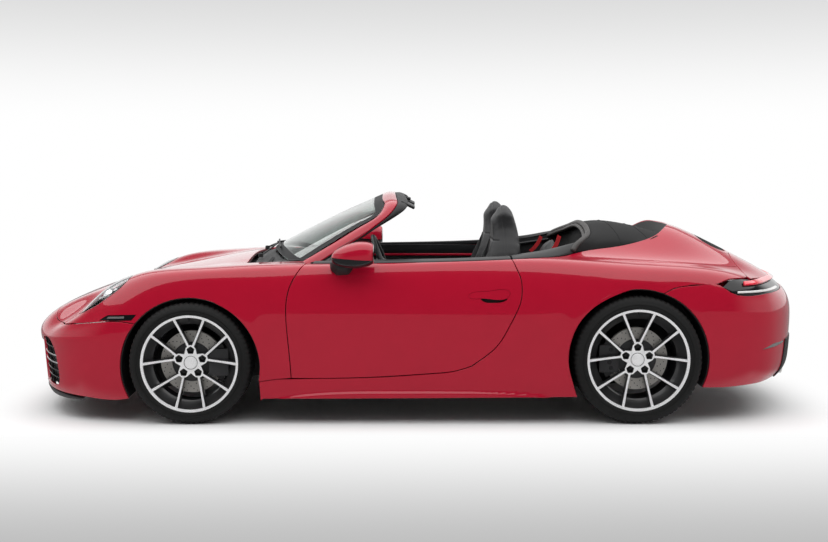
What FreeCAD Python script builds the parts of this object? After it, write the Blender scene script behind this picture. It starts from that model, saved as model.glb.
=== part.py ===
"""Two-door rear-engined convertible, top stowed, as an assembly of separate parts.

Frame: millimetres, +Z up, ground at Z = 0, the nose points along -X and the tail along +X.
X = 0 is half way between the bumpers and Y = 0 is the centre plane. The left side is -Y.
"""
import FreeCAD, Part
import math
import os
import re
import Sketcher
from FreeCAD import Placement, Rotation, Vector

os.makedirs("parts", exist_ok=True)
doc = FreeCAD.newDocument("convertible")

# ---------------------------------------------------------------- driving sizes
SIZES = (
    # alias, value in mm or degrees, what it is
    ("front_overhang", 1030, "nose to front axle"),
    ("wheelbase", 2450, "axle to axle"),
    ("rear_overhang", 1062, "rear axle to tail"),
    ("body_width", 1852, "widest place, over the rear wheels"),
    ("body_height", 1258, "ground to the top of the windscreen frame"),
    ("skin", 8, "thickness of the outer panels"),
    ("seam", 12, "gap round a door or lid"),
    ("lid_gap", 16, "gap at the hinged edge of a lid"),
    ("joint_gap", 0.5, "gap between panels that are fixed"),
    ("door_hinge_setback", 90, "door hinge behind the front edge of the skin"),
    ("door_hinge_depth", 22, "door hinge inside the outer surface"),
    ("lid_hinge_setback", 14, "lid hinge inside the lid's edge"),
    ("lid_hinge_depth", 18, "lid hinge under the lid's top"),
    ("pin_radius", 5, "hinge pin"),
    ("eye_wall", 5, "metal round a hinge pin"),
    ("eye_length", 40, "hinge eye"),
    ("running_gap", 0.3, "radial gap of a pin or shaft in its bore"),
    ("clearance", 6, "between pieces that move past each other"),
    ("front_tyre_side", 82, "front tyre, bead seat to tread"),
    ("front_tyre_width", 245, "front tyre"),
    ("rim_room", 79, "front wheel's bead seat outside the brake disc"),
    ("front_wheel_y", 797, "front wheel's centre plane"),
    ("front_hub_offset", 53, "mounting face outboard of the wheel's middle"),
    ("rear_tyre_side", 87, "rear tyre, bead seat to tread"),
    ("rear_tyre_width", 305, "rear tyre"),
    ("rear_rim_step", 13, "rear wheel's bead seat outside the front one's"),
    ("rear_wheel_y", 763, "rear wheel's centre plane"),
    ("rear_hub_offset", 78, "mounting face outboard of the wheel's middle"),
    ("front_arch_gap", 49, "front arch radius over the tyre's"),
    ("front_arch_drop", 26, "front arch centre below the axle"),
    ("rear_arch_gap", 37, "rear arch radius over the tyre's"),
    ("rear_arch_drop", 2, "rear arch centre below the axle"),
    ("liner", 5, "thickness of a wheel housing"),
    ("liner_gap", 10, "wheel housing outside the arch radius"),
    ("front_well_depth", 205, "front housing's inner wall inboard of the tyre"),
    ("rear_well_depth", 40, "rear housing's inner wall inboard of the tyre"),
    ("rim_wall", 9, "rim barrel"),
    ("lip", 13, "rim flange over the bead seat"),
    ("flange", 8, "width of a rim flange"),
    ("bead", 22, "width of a tyre's bead"),
    ("tyre_wall", 12, "thickness of a tyre's side and tread"),
    ("spoke_pairs", 5, "pairs of spokes on a rim"),
    ("spoke_width", 22, "one spoke, across"),
    ("spoke_depth", 46, "one spoke, in and out"),
    ("hub_disc_radius", 84, "solid middle of a rim"),
    ("hub_disc_depth", 30, "solid middle of a rim"),
    ("disc_radius", 175, "brake disc"),
    ("disc_thickness", 34, "brake disc"),
    ("hat_depth", 56, "mounting face to the inner side of the brake disc"),
    ("hat_radius", 92, "drum part of the brake disc"),
    ("hat_wall", 10, "drum part of the brake disc"),
    ("spindle_radius", 30, "stub axle in the hub"),
    ("upright_depth", 50, "wheel upright along the axle"),
    ("caliper_wall", 18, "brake caliper outside the disc"),
    ("caliper_bridge", 30, "brake caliper beyond the disc's edge"),
    ("caliper_length", 150, "brake caliper round the disc"),
    ("arm_thickness", 24, "suspension arm"),
    ("kingpin_y", 740, "steering axis"),
    ("kingpin_radius", 9, "pin of the steering axis"),
    ("kingpin_reach", 120, "end of the steering axis's pin above and below the axle"),
    ("floor_height", 158, "underside of the floor"),
    ("floor_thickness", 32, "floor pan"),
    ("jack_pad", 80, "jacking pad, each way"),
    ("jack_pad_drop", 8, "jacking pad below the floor"),
    ("jack_pad_y", 660, "middle of a jacking pad"),
    ("sill_height", 130, "inner sill above the floor"),
    ("sill_width", 70, "inner sill"),
    ("tub_wall", 12, "luggage tub"),
    ("glass", 6, "windscreen"),
    ("pillar", 52, "windscreen pillar"),
    ("seat_width", 500, "front seat over its bolsters"),
    ("seat_gap", 10, "front seat to the console"),
    ("sill_gap", 4, "front seat to the sill"),
    ("wheel_rim_radius", 180, "steering wheel, to the middle of its grip"),
    ("wheel_grip", 15, "radius of the steering wheel's grip"),
    ("column_radius", 22, "steering column's tube"),
    ("shaft_radius", 10, "steering wheel's shaft"),
    ("post_depth", 50, "front door post, across the car"),
    ("console_width", 220, "centre console"),
    ("column_tilt", 22, "steering column above level, degrees"),
    ("engine_width", 660, "engine and gearbox block"),
    ("exhaust_radius", 45, "tail pipe, outside"),
    ("exhaust_wall", 4, "tail pipe"),
    ("exhaust_y", 330, "inner tail pipe from the middle"),
    ("mirror_depth", 120, "door mirror, fore and aft"),
    ("bulkhead", 20, "bulkheads and latch posts"),
    ("headlight_radius", 112, "headlight, seen from the front"),
    ("lamp_depth", 30, "tail lamp band"),
    ("grille_depth", 6, "grille"),
    ("splitter", 18, "front splitter"),
    ("spoiler_depth", 40, "rear spoiler"),
    ("spoiler_travel", 60, "rear spoiler's lift"),
    ("spoiler_rod", 10, "radius of the rear spoiler's rods"),
    ("top_stack", 110, "folded soft top"),
)
DERIVED = {
    # sizes that follow from others
    "front_rim_radius": "(disc_radius + rim_room)",
    "rear_rim_radius": "(front_rim_radius + rear_rim_step)",
    "front_tyre_radius": "(front_rim_radius + front_tyre_side)",
    "rear_tyre_radius": "(rear_rim_radius + rear_tyre_side)",
    "seat_y": "((console_width + seat_width) / 2 + seat_gap)",
    "cabin_half_width": "(console_width / 2 + seat_gap + seat_width + sill_gap + sill_width + clearance)",
}
NAMES = {alias for alias, value, meaning in SIZES}
sheet = doc.addObject("Spreadsheet::Sheet", "Sizes")
for row, (alias, value, meaning) in enumerate(SIZES, start=1):
    sheet.set("A%d" % row, meaning)
    sheet.set("B%d" % row, str(value))
    sheet.setAlias("B%d" % row, alias)
doc.recompute()


def bound(text):
    """An expression in size names, as FreeCAD reads it."""
    def full(word):
        name = word.group()
        if name in DERIVED:
            return bound(DERIVED[name])
        return "Sizes." + name if name in NAMES else name

    return re.sub(r"[a-z_]+", full, text)


def value(text):
    """The number that an expression in size names has now."""
    return float(sheet.evalExpression(bound(text)))


LENGTH = value("front_overhang + wheelbase + rear_overhang")
FRONT_AXLE = "(-(wheelbase + rear_overhang - front_overhang) / 2)"
REAR_AXLE = "((wheelbase + front_overhang - rear_overhang) / 2)"
AXLE_X = {"front": value(FRONT_AXLE), "rear": value(REAR_AXLE)}
HALF_WIDTH = value("body_width / 2")
HEIGHT = value("body_height")
SKIN = value("skin")
SEAM = value("seam")
LID_GAP = value("lid_gap")
FIXED = value("joint_gap")
RUN = value("running_gap")
CLEAR = value("clearance")
FAR = 4000.0          # beyond the car, for cutting tools
SIDES = (("left", -1), ("right", 1))


# ---------------------------------------------------------------- shapes made here
def box(x0, x1, y0, y1, z0, z1):
    return Part.makeBox(x1 - x0, y1 - y0, z1 - z0, Vector(x0, y0, z0))


def across(radius, x, z, y0, y1):
    """A cylinder along Y."""
    return Part.makeCylinder(radius, y1 - y0, Vector(x, y0, z), Vector(0, 1, 0))


def upright(radius, x, y, z0, z1):
    """A cylinder along Z."""
    return Part.makeCylinder(radius, z1 - z0, Vector(x, y, z0), Vector(0, 0, 1))


def rod(radius, start, end):
    return Part.makeCylinder(radius, (end - start).Length, start, end - start)


def mirrored(shape):
    """The same piece on the other side of the car."""
    return shape.mirror(Vector(0, 0, 0), Vector(0, 1, 0))


def both(shape):
    return Part.makeCompound([shape, mirrored(shape)])


def fused(*shapes):
    return shapes[0].multiFuse(list(shapes[1:])).removeSplitter()


def prism(points, start, along):
    """A prism over a closed outline; start turns a pair of numbers into a point."""
    wire = Part.makePolygon([start(a, b) for a, b in points + points[:1]])
    return Part.Face(wire).extrude(along)


def side_prism(points, y0, y1):
    """A prism along Y over (x, z) points."""
    return prism(points, lambda x, z: Vector(x, y0, z), Vector(0, y1 - y0, 0))


def plan_prism(points, z0, z1):
    """A prism along Z over (x, y) points."""
    return prism(points, lambda x, y: Vector(x, y, z0), Vector(0, 0, z1 - z0))


def plan_symmetric(points, z0, z1):
    """plan_prism over the left half's points, from front to rear, and their mirror image."""
    right = [(x, -y) for x, y in reversed(points) if y < 0]
    return plan_prism(points + right, z0, z1)


def grown(points, amount):
    """A closed outline moved outwards by amount."""
    wire = Part.makePolygon([Vector(a, b, 0) for a, b in points + points[:1]])
    wire = wire.makeOffset2D(amount, 2)
    return [(corner.X, corner.Y) for corner in wire.OrderedVertexes]


def shaped(name, shape):
    """A node whose shape is made with Part's functions."""
    node = doc.addObject("Part::Feature", name)
    node.Label = name
    node.Shape = shape
    node.Placement = Placement()
    return node


# ---------------------------------------------------------------- parametric pieces
def primitive(kind, name, place=None, turn=None, **sizes):
    """A Part primitive with its sizes, and its place if one is given, bound to the sheet."""
    piece = doc.addObject("Part::" + kind, name)
    if turn:
        piece.Placement.Rotation = turn
    for axis, text in zip("xyz", place or ()):
        piece.setExpression("Placement.Base." + axis, bound(text))
    for size_name, text in sizes.items():
        piece.setExpression(size_name, bound(text))
    return piece


def block(name, x0, x1, y0, y1, z0, z1):
    """A box between bound planes."""
    spans = zip(("Length", "Width", "Height"), ((x0, x1), (y0, y1), (z0, z1)))
    sizes = {size_name: "%s - (%s)" % (far, near) for size_name, (near, far) in spans}
    return primitive("Box", name, (x0, y0, z0), **sizes)


def joined(name, pieces):
    node = doc.addObject("Part::MultiFuse", name)
    node.Label = name
    node.Shapes = pieces
    return node


def without(name, base, tool):
    node = doc.addObject("Part::Cut", name)
    node.Label = name
    node.Base = base
    node.Tool = tool
    return node


TURN_TO_Y = Rotation(Vector(1, 0, 0), -90)      # a primitive's Z axis along +Y


def new_body(name):
    node = doc.addObject("PartDesign::Body", name)
    node.Label = name
    return node


def drawing(body, role, corners, suffix):
    """A closed loop on one of the body's own planes, each corner held by two bound dimensions."""
    plane = next(origin for origin in body.Origin.OriginFeatures if origin.Role == role)
    sketch = body.newObject("Sketcher::SketchObject", body.Label + suffix)
    sketch.AttachmentSupport = [(plane, "")]
    sketch.MapMode = "FlatFace"
    spots = [Vector(value(a), value(b), 0) for a, b in corners]
    for k, spot in enumerate(spots):
        sketch.addGeometry(Part.LineSegment(spot, spots[(k + 1) % len(spots)]))
    for k in range(len(spots)):
        sketch.addConstraint(Sketcher.Constraint("Coincident", k, 2, (k + 1) % len(spots), 1))
    for k, (spot, texts) in enumerate(zip(spots, corners)):
        for kind, amount, text in zip(("DistanceX", "DistanceY"), (spot.x, spot.y), texts):
            index = sketch.addConstraint(Sketcher.Constraint(kind, -1, 1, k, 1, amount))
            sketch.setExpression("Constraints[%d]" % index, bound(text))
    return sketch


def turned(body, corners):
    """A revolution about the body's Y axis; corners are (radius, along the axis)."""
    profile = drawing(body, "XY_Plane", corners, "_profile")
    ring = body.newObject("PartDesign::Revolution", body.Label + "_ring")
    ring.Profile = profile
    ring.ReferenceAxis = (profile, ["V_Axis"])
    ring.Angle = 360
    return ring


def padded(body, role, corners, length, suffix=""):
    """A pad, half each way from its plane."""
    profile = drawing(body, role, corners, suffix + "_outline")
    pad = body.newObject("PartDesign::Pad", body.Label + suffix + "_pad")
    pad.Profile = profile
    pad.SideType = "Symmetric"
    pad.setExpression("Length", bound(length))
    return pad


def placed(node, x, y, z, turn=None):
    if turn:
        node.Placement.Rotation = turn
    for axis, text in zip("xyz", (x, y, z)):
        node.setExpression("Placement.Base." + axis, bound(text))


# ---------------------------------------------------------------- body surface
def at(station):
    """X of a station: -1 nose, 0 front axle, 1 rear axle, 2 tail."""
    if station < 0:
        return AXLE_X["front"] + station * value("front_overhang")
    if station <= 1:
        return AXLE_X["front"] + station * value("wheelbase")
    return AXLE_X["rear"] + (station - 1) * value("rear_overhang")


def wide(share):
    return share * HALF_WIDTH


def high(share):
    return share * HEIGHT


# Cross-sections of the closed outer surface, without the windscreen: a station, then a
# half-width (share of HALF_WIDTH) and a height (share of HEIGHT) for each corner.
BODY = (
    # station, floor y z, rocker y z, waist y z, shoulder y z, crest y z, inner y z, middle z
    (-1.000, 0.20, 0.190, 0.27, 0.230, 0.290, 0.320, 0.280, 0.370, 0.22, 0.400, 0.12, 0.405, 0.405),
    (-0.970, 0.40, 0.105, 0.45, 0.150, 0.470, 0.320, 0.460, 0.395, 0.40, 0.430, 0.25, 0.440, 0.445),
    (-0.890, 0.60, 0.095, 0.64, 0.165, 0.660, 0.330, 0.640, 0.415, 0.57, 0.462, 0.36, 0.480, 0.487),
    (-0.780, 0.74, 0.095, 0.77, 0.180, 0.790, 0.350, 0.770, 0.440, 0.68, 0.495, 0.46, 0.520, 0.530),
    (-0.600, 0.85, 0.095, 0.88, 0.190, 0.905, 0.370, 0.880, 0.490, 0.76, 0.560, 0.56, 0.570, 0.580),
    (-0.350, 0.90, 0.100, 0.94, 0.200, 0.970, 0.385, 0.950, 0.550, 0.78, 0.640, 0.60, 0.620, 0.630),
    (0.000, 0.93, 0.110, 0.970, 0.205, 0.994, 0.400, 0.974, 0.585, 0.80, 0.672, 0.66, 0.666, 0.683),
    (0.160, 0.94, 0.113, 0.972, 0.205, 0.966, 0.410, 0.950, 0.592, 0.81, 0.688, 0.70, 0.700, 0.725),
    (0.270, 0.94, 0.115, 0.955, 0.205, 0.955, 0.420, 0.942, 0.595, 0.82, 0.700, 0.74, 0.706, 0.706),
    (0.470, 0.94, 0.116, 0.966, 0.210, 0.950, 0.430, 0.937, 0.600, 0.83, 0.706, 0.75, 0.708, 0.708),
    (0.700, 0.94, 0.117, 0.968, 0.215, 0.956, 0.440, 0.945, 0.610, 0.835, 0.718, 0.75, 0.722, 0.722),
    (0.800, 0.94, 0.118, 0.972, 0.215, 0.968, 0.450, 0.955, 0.620, 0.83, 0.728, 0.74, 0.742, 0.780),
    (1.000, 0.93, 0.125, 0.975, 0.220, 1.000, 0.460, 0.985, 0.630, 0.77, 0.745, 0.64, 0.800, 0.845),
    (1.270, 0.90, 0.138, 0.950, 0.230, 0.985, 0.450, 0.970, 0.620, 0.74, 0.725, 0.58, 0.775, 0.815),
    (1.500, 0.84, 0.150, 0.900, 0.235, 0.945, 0.445, 0.925, 0.600, 0.70, 0.685, 0.54, 0.725, 0.765),
    (1.700, 0.76, 0.160, 0.820, 0.240, 0.880, 0.440, 0.850, 0.570, 0.66, 0.635, 0.50, 0.665, 0.695),
    (1.840, 0.66, 0.168, 0.710, 0.245, 0.780, 0.440, 0.750, 0.550, 0.61, 0.590, 0.46, 0.605, 0.615),
    (1.940, 0.50, 0.175, 0.560, 0.255, 0.620, 0.440, 0.590, 0.530, 0.48, 0.550, 0.32, 0.555, 0.560),
    (2.000, 0.20, 0.300, 0.280, 0.330, 0.340, 0.440, 0.320, 0.480, 0.26, 0.500, 0.14, 0.505, 0.508),
)


def body_section(row, inset):
    """Closed outline of one cross-section, moved inwards by inset."""
    x = min(max(at(row[0]), at(-1) + inset), at(2) - inset)
    corners = list(zip(row[1:13:2], row[2:13:2]))
    lift = (inset, inset / 2, 0, -inset / 3, -inset, -inset)
    half = [(wide(y) - inset, high(z) + up) for (y, z), up in zip(corners, lift)]
    left = [Vector(x, -y, z) for y, z in half]
    right = [Vector(x, y, z) for y, z in reversed(half)]
    return Part.makePolygon(left + [Vector(x, 0, high(row[13]) - inset)] + right + left[:1])


def body_solid(inset):
    return Part.makeLoft([body_section(row, inset) for row in BODY], True, True)


OUTER = body_solid(0)
SHELL = OUTER.cut(body_solid(SKIN))
ROOM = body_solid(SKIN + RUN)           # what fits inside the panels


def section_at(x):
    """The BODY row at any x."""
    for near, after in zip(BODY, BODY[1:]):
        if x <= at(after[0]):
            share = (x - at(near[0])) / (at(after[0]) - at(near[0]))
            return [a + (b - a) * share for a, b in zip(near, after)]
    return list(BODY[-1])


def surface_y(x, z):
    """Half-width of the body's side at (x, z)."""
    row = section_at(x)
    line = [(high(row[k + 1]), wide(row[k])) for k in (1, 3, 5, 7, 9)]
    for (z0, y0), (z1, y1) in zip(line, line[1:]):
        if z <= z1:
            return y0 + (y1 - y0) * (z - z0) / (z1 - z0)
    return line[-1][1]


def surface_z(x, y):
    """Height of the body's top at (x, y), inside the crest."""
    row = section_at(x)
    line = [(0.0, high(row[13])), (wide(row[11]), high(row[12])), (wide(row[9]), high(row[10]))]
    for (y0, z0), (y1, z1) in zip(line, line[1:]):
        if abs(y) <= y1:
            return z0 + (z1 - z0) * (abs(y) - y0) / (y1 - y0)
    return line[-1][1]


# ---------------------------------------------------------------- wheels and brakes
# Each wheel piece is made about its own Y axis, outboard along -Y, and turned round for the right side.
AXLES = {"front": FRONT_AXLE, "rear": REAR_AXLE}
TURN_RIGHT = Rotation(Vector(0, 0, 1), 180)


HUB_Y = "%(end)s_wheel_y + %(end)s_hub_offset"


def on_axle(node, end, sign, y):
    """Puts a wheel piece on its axle, y from the middle of the car."""
    turn = TURN_RIGHT if sign > 0 else None
    placed(node, AXLES[end], "%d * (%s)" % (sign, y), end + "_tyre_radius", turn)


def make_tyre(end, side, sign):
    body = new_body("tyre_%s_%s" % (end, side))
    half = "%s_tyre_width / 2" % end
    seat = half + " - 6 - flange"             # outer side of the bead
    bead = "%s_rim_radius" % end
    tread = "%s_tyre_radius" % end
    outline = [
        (bead, seat), (bead + " + lip", seat), (bead + " + 40", half),
        (tread + " - 22", half + " - 2"), (tread + " - 5", half + " - 14"), (tread, half + " - 34"),
    ]
    cavity = [
        (tread + " - tyre_wall", half + " - 40"), (tread + " - 26", half + " - tyre_wall - 4"),
        (bead + " + 40", half + " - tyre_wall"), (bead, seat + " - bead"),
    ]
    inside = [(r, "-(%s)" % y) for r, y in reversed(cavity)]
    outside = [(r, "-(%s)" % y) for r, y in reversed(outline)]
    turned(body, outline + outside + inside + cavity)
    on_axle(body, end, sign, end + "_wheel_y")


def make_rim(end, side, sign):
    body = new_body("rim_%s_%s" % (end, side))
    edge = "(%s_tyre_width / 2 - 6)" % end
    bead = "%s_rim_radius" % end
    face = "%s_hub_offset" % end
    turned(body, [
        (bead + " - rim_wall", edge), (bead + " + lip", edge), (bead + " + lip", edge + " - flange"),
        (bead, edge + " - flange"), (bead, "-(%s - flange)" % edge),
        (bead + " + lip", "-(%s - flange)" % edge), (bead + " + lip", "-" + edge),
        (bead + " - rim_wall", "-" + edge),
    ])
    middle = drawing(body, "XY_Plane", [
        ("0", "-" + face), ("hub_disc_radius", "-" + face),
        ("hub_disc_radius", "-%s - hub_disc_depth" % face), ("0", "-%s - hub_disc_depth" % face),
    ], "_middle")
    hub = body.newObject("PartDesign::Revolution", body.Label + "_hub")
    hub.Profile = middle
    hub.ReferenceAxis = (middle, ["V_Axis"])
    hub.Angle = 360
    doc.recompute()
    # two spokes that spread from the hub to the barrel, seen from outside
    spoke = drawing(body, "XZ_Plane", [
        ("-spoke_width * 1.2", "hub_disc_radius * 0.7"), ("spoke_width * 1.2", "hub_disc_radius * 0.7"),
        (bead + " * 0.309 + spoke_width / 2", bead + " * 0.93"),
        (bead + " * 0.309 - spoke_width / 2", bead + " * 0.94"),
        ("0", "hub_disc_radius + spoke_width * 1.5"),
        ("-(%s * 0.309 - spoke_width / 2)" % bead, bead + " * 0.94"),
        ("-(%s * 0.309 + spoke_width / 2)" % bead, bead + " * 0.93"),
    ], "_spoke")
    spoke.setExpression("AttachmentOffset.Base.z", bound(edge + " - spoke_depth - 3"))
    pair = body.newObject("PartDesign::Pad", body.Label + "_spokes")
    pair.Profile = spoke
    pair.setExpression("Length", bound("spoke_depth"))
    doc.recompute()
    ring = body.newObject("PartDesign::PolarPattern", body.Label + "_star")
    ring.Originals = [pair]
    ring.Axis = (spoke, ["N_Axis"])
    ring.Angle = 360
    ring.setExpression("Occurrences", bound("spoke_pairs"))
    body.Tip = ring
    on_axle(body, end, sign, end + "_wheel_y")


def make_disc(end, side, sign):
    body = new_body("brake_disc_%s_%s" % (end, side))
    bore = "spindle_radius + running_gap"
    turned(body, [
        (bore, "0"), ("hat_radius", "0"), ("hat_radius", "hat_depth - disc_thickness"),
        ("disc_radius", "hat_depth - disc_thickness"), ("disc_radius", "hat_depth"),
        ("hat_radius - hat_wall", "hat_depth"), ("hat_radius - hat_wall", "hat_wall"), (bore, "hat_wall"),
    ])
    on_axle(body, end, sign, HUB_Y % {"end": end})


for end in AXLES:
    for side, sign in SIDES:
        make_tyre(end, side, sign)
        make_rim(end, side, sign)
        make_disc(end, side, sign)


# ---------------------------------------------------------------- uprights and brake calipers
def upright_pieces(name, toward):
    """Spindle, casting and caliper about the disc's mounting face, inboard along +Y.

    toward is the caliper's side of the axle: 1 or -1 along the piece's own X.
    """
    spindle = primitive("Cylinder", name + "_spindle", ("0", "clearance", "0"), TURN_TO_Y,
                        Radius="spindle_radius", Height="hat_depth + upright_depth")
    casting = primitive("Cylinder", name + "_casting", ("0", "hat_depth + clearance", "0"), TURN_TO_Y,
                        Radius="hat_radius - hat_wall - clearance", Height="upright_depth")

    def beside(role, near, far, outboard, inboard, half_height):
        """A block on the caliper's side, from near to far off the axle."""
        ends = (near, far) if toward > 0 else ("-(%s)" % far, "-(%s)" % near)
        return block(name + role, *ends, outboard, inboard, "-" + half_height, half_height)

    solid = beside("_caliper_block", "hat_radius + clearance", "disc_radius + caliper_bridge",
                   "hat_depth - disc_thickness - clearance - caliper_wall",
                   "hat_depth + clearance + upright_depth * 0.6", "caliper_length / 2")
    slot = primitive("Cylinder", name + "_disc_slot", ("0", "hat_depth - disc_thickness - clearance", "0"),
                     TURN_TO_Y, Radius="disc_radius + clearance", Height="disc_thickness + clearance * 2")
    caliper = without(name + "_caliper", solid, slot)
    arm = beside("_caliper_arm", "spindle_radius", "hat_radius + clearance + caliper_wall",
                 "hat_depth + clearance + 2", "hat_depth + clearance + upright_depth * 0.6",
                 "caliper_length * 0.4")
    return [spindle, casting, caliper, arm]


for side, sign in SIDES:
    name = "knuckle_front_" + side
    pin_y = "front_wheel_y + front_hub_offset - kingpin_y"
    kingpin = primitive("Cylinder", name + "_kingpin", ("0", pin_y, "-kingpin_reach"),
                        Radius="kingpin_radius", Height="kingpin_reach * 2")
    web_top = "kingpin_reach - arm_thickness - clearance * 2"
    web = block(name + "_web", "-kingpin_radius * 2", "kingpin_radius * 2", "hat_depth + clearance + 4",
                pin_y + " + kingpin_radius", "-(%s)" % web_top, web_top)
    node = joined(name, upright_pieces(name, -sign) + [kingpin, web])
    on_axle(node, "front", sign, HUB_Y % {"end": "front"})


# ---------------------------------------------------------------- arches, housings and suspension
class Arch:
    """Places that follow from one axle's wheel, on the left."""

    def __init__(self, end):
        self.x = AXLE_X[end]
        self.hub_z = value(end + "_tyre_radius")
        self.radius = self.hub_z + value(end + "_arch_gap")
        self.z = self.hub_z - value(end + "_arch_drop")
        self.inner = value("%s_wheel_y - %s_tyre_width / 2 - %s_well_depth" % (end, end, end))
        self.hub_y = value("%s_wheel_y + %s_hub_offset" % (end, end))
        self.top = self.z + self.radius + value("liner_gap")

    def cut(self, extra=0.0, inner=0.0):
        """The wheel's space, from inner outwards and down to the ground."""
        radius = self.radius + extra
        round_part = across(radius, self.x, self.z, -FAR, -inner)
        return round_part.fuse(box(self.x - radius, self.x + radius, -FAR, -inner, -FAR, self.z))


FRONT, REAR = Arch("front"), Arch("rear")
LINER = value("liner")
LINER_GAP = value("liner_gap")
ARM = value("arm_thickness")


def housing(arch, wall_low):
    """Left housing: an arched liner, and an inner wall above wall_low where the suspension passes."""
    outer = across(arch.radius + LINER_GAP + LINER, arch.x, arch.z, -FAR, -arch.inner)
    cavity = across(arch.radius + LINER_GAP, arch.x, arch.z, -FAR - 1, -arch.inner - LINER)
    window = box(arch.x - FAR, arch.x + FAR, -FAR, 0, -FAR, wall_low)
    rim_low = box(arch.x - FAR, arch.x + FAR, -FAR, 0, -FAR, high(0.17))
    wall = outer.cut(cavity).common(box(-FAR, FAR, -arch.inner - LINER - 0.1, 0, -FAR, FAR)).cut(window)
    arch_skin = outer.cut(cavity).cut(box(-FAR, FAR, -arch.inner - LINER, 0, -FAR, FAR)).cut(rim_low)
    reach = surface_y(arch.x, arch.z) - 60
    return arch_skin.fuse(wall).common(ROOM).common(box(-FAR, FAR, -reach, 0, -FAR, FAR))


def wishbone(arch, z, pin_y, bore):
    """Arm from the subframe to the upright, with an eye round the pin."""
    inner = arch.inner - 60
    outline = [(arch.x - 24, pin_y), (arch.x + 24, pin_y), (arch.x + 90, inner), (arch.x - 90, inner)]
    eye = upright(bore + 12, arch.x, pin_y, z - ARM / 2, z + ARM / 2)
    return plan_prism(outline, z - ARM / 2, z + ARM / 2).fuse(eye)


KINGPIN_Y = value("kingpin_y")
PIN_REACH = value("kingpin_reach")
PIN = value("kingpin_radius")
SUBFRAME_LOW = value("floor_height") + 5


def front_suspension():
    """Subframe with two arms and a strut a side; the arms' eyes hold the kingpins."""
    z_low = FRONT.hub_z - PIN_REACH + ARM / 2
    z_high = FRONT.hub_z + PIN_REACH - ARM / 2
    bore = upright(PIN + RUN, FRONT.x, KINGPIN_Y, 0, FAR)
    arms = [wishbone(FRONT, z, KINGPIN_Y, PIN).cut(bore) for z in (z_low, z_high)]
    strut_y = KINGPIN_Y - 130
    strut = upright(24, FRONT.x, strut_y, z_low, FRONT.top - RUN * 3)
    tower = box(FRONT.x - 110, FRONT.x + 110, FRONT.inner - 64, FRONT.inner - 56, SUBFRAME_LOW, z_high + ARM)
    right = fused(*arms, strut, tower)
    beam = box(FRONT.x - 110, FRONT.x + 110, 57 - FRONT.inner, FRONT.inner - 57, SUBFRAME_LOW, z_low + ARM)
    return fused(beam, right, mirrored(right)).common(ROOM)


def rear_suspension():
    """Uprights with calipers, two arms and a drive shaft a side, and the subframe under the engine."""
    z_low, z_high = REAR.hub_z - 110, REAR.hub_z + 110
    inner = REAR.inner - 120
    parts = upright_pieces("rear_upright", -1)
    doc.recompute()
    hub = parts[0].Shape.fuse([part.Shape for part in parts[1:]])
    hub.translate(Vector(REAR.x, -REAR.hub_y, REAR.hub_z))
    pieces = [hub]
    depth = REAR.hub_y - value("hat_depth + clearance + upright_depth")
    pieces.append(box(REAR.x - 25, REAR.x + 25, -depth - 30, -depth + 14, z_low - 14, z_high + 14))
    for z in (z_low, z_high):
        pieces.append(box(REAR.x - 30, REAR.x + 30, -depth, -inner, z - 14, z + 14))
    pieces.append(across(20, REAR.x, REAR.hub_z, -depth, -inner))
    pieces.append(box(REAR.x - 90, REAR.x + 90, -inner, -inner + 60, z_low - 40, z_high + 30))
    pieces.append(box(REAR.x - 60, REAR.x + 60, RUN - REAR.inner, -inner + 1, z_high + 10, REAR.hub_z + 190))
    left = fused(*pieces)
    beam = box(REAR.x - 90, REAR.x + 90, -inner + 59, inner - 59, z_low - 40, z_low + 20)
    return fused(beam, left, mirrored(left))


shaped("front_suspension", front_suspension())
shaped("rear_suspension", rear_suspension())


# ---------------------------------------------------------------- shut lines and stations
# Side view of the left door, from the belt down the front edge and round: (station, share of HEIGHT).
DOOR_LINE = (
    (0.268, 0.790), (0.256, 0.698), (0.238, 0.653), (0.221, 0.587), (0.216, 0.522), (0.217, 0.413),
    (0.221, 0.282), (0.2235, 0.202), (0.438, 0.210), (0.590, 0.234), (0.652, 0.287), (0.683, 0.337),
    (0.715, 0.439), (0.729, 0.492), (0.740, 0.580), (0.736, 0.648), (0.725, 0.692), (0.712, 0.790),
)
# Plan of the left half, from front to rear: (station, share of HALF_WIDTH).
HOOD_PLAN = ((-0.790, 0.0), (-0.790, -0.40), (-0.600, -0.53), (0.000, -0.655), (0.115, -0.69))
DECK_PLAN = ((0.895, -0.775), (1.100, -0.745), (1.400, -0.700), (1.640, -0.630))
COVER_PLAN = ((0.905, -0.700), (0.990, -0.640), (1.060, -0.540), (1.120, -0.400), (1.160, -0.200))
LID_PLAN = ((1.330, -0.440), (1.620, -0.470))
SPOILER_PLAN = ((1.655, -0.600), (1.885, -0.540))

door_line = [(at(s), high(h)) for s, h in DOOR_LINE]
DOOR_FRONT = min(x for x, z in door_line)
DOOR_REAR = max(x for x, z in door_line)
DOOR_LOW = min(z for x, z in door_line)
CABIN_Y = value("cabin_half_width")
HINGE_X = DOOR_FRONT + value("door_hinge_setback")
HINGE_LEVELS = (high(0.32), high(0.52))
HINGE_Y = min(surface_y(HINGE_X, z) for z in HINGE_LEVELS) - value("door_hinge_depth")
EYE = value("eye_length")
PIN_R = value("pin_radius")
EYE_R = value("pin_radius + eye_wall")

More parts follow.
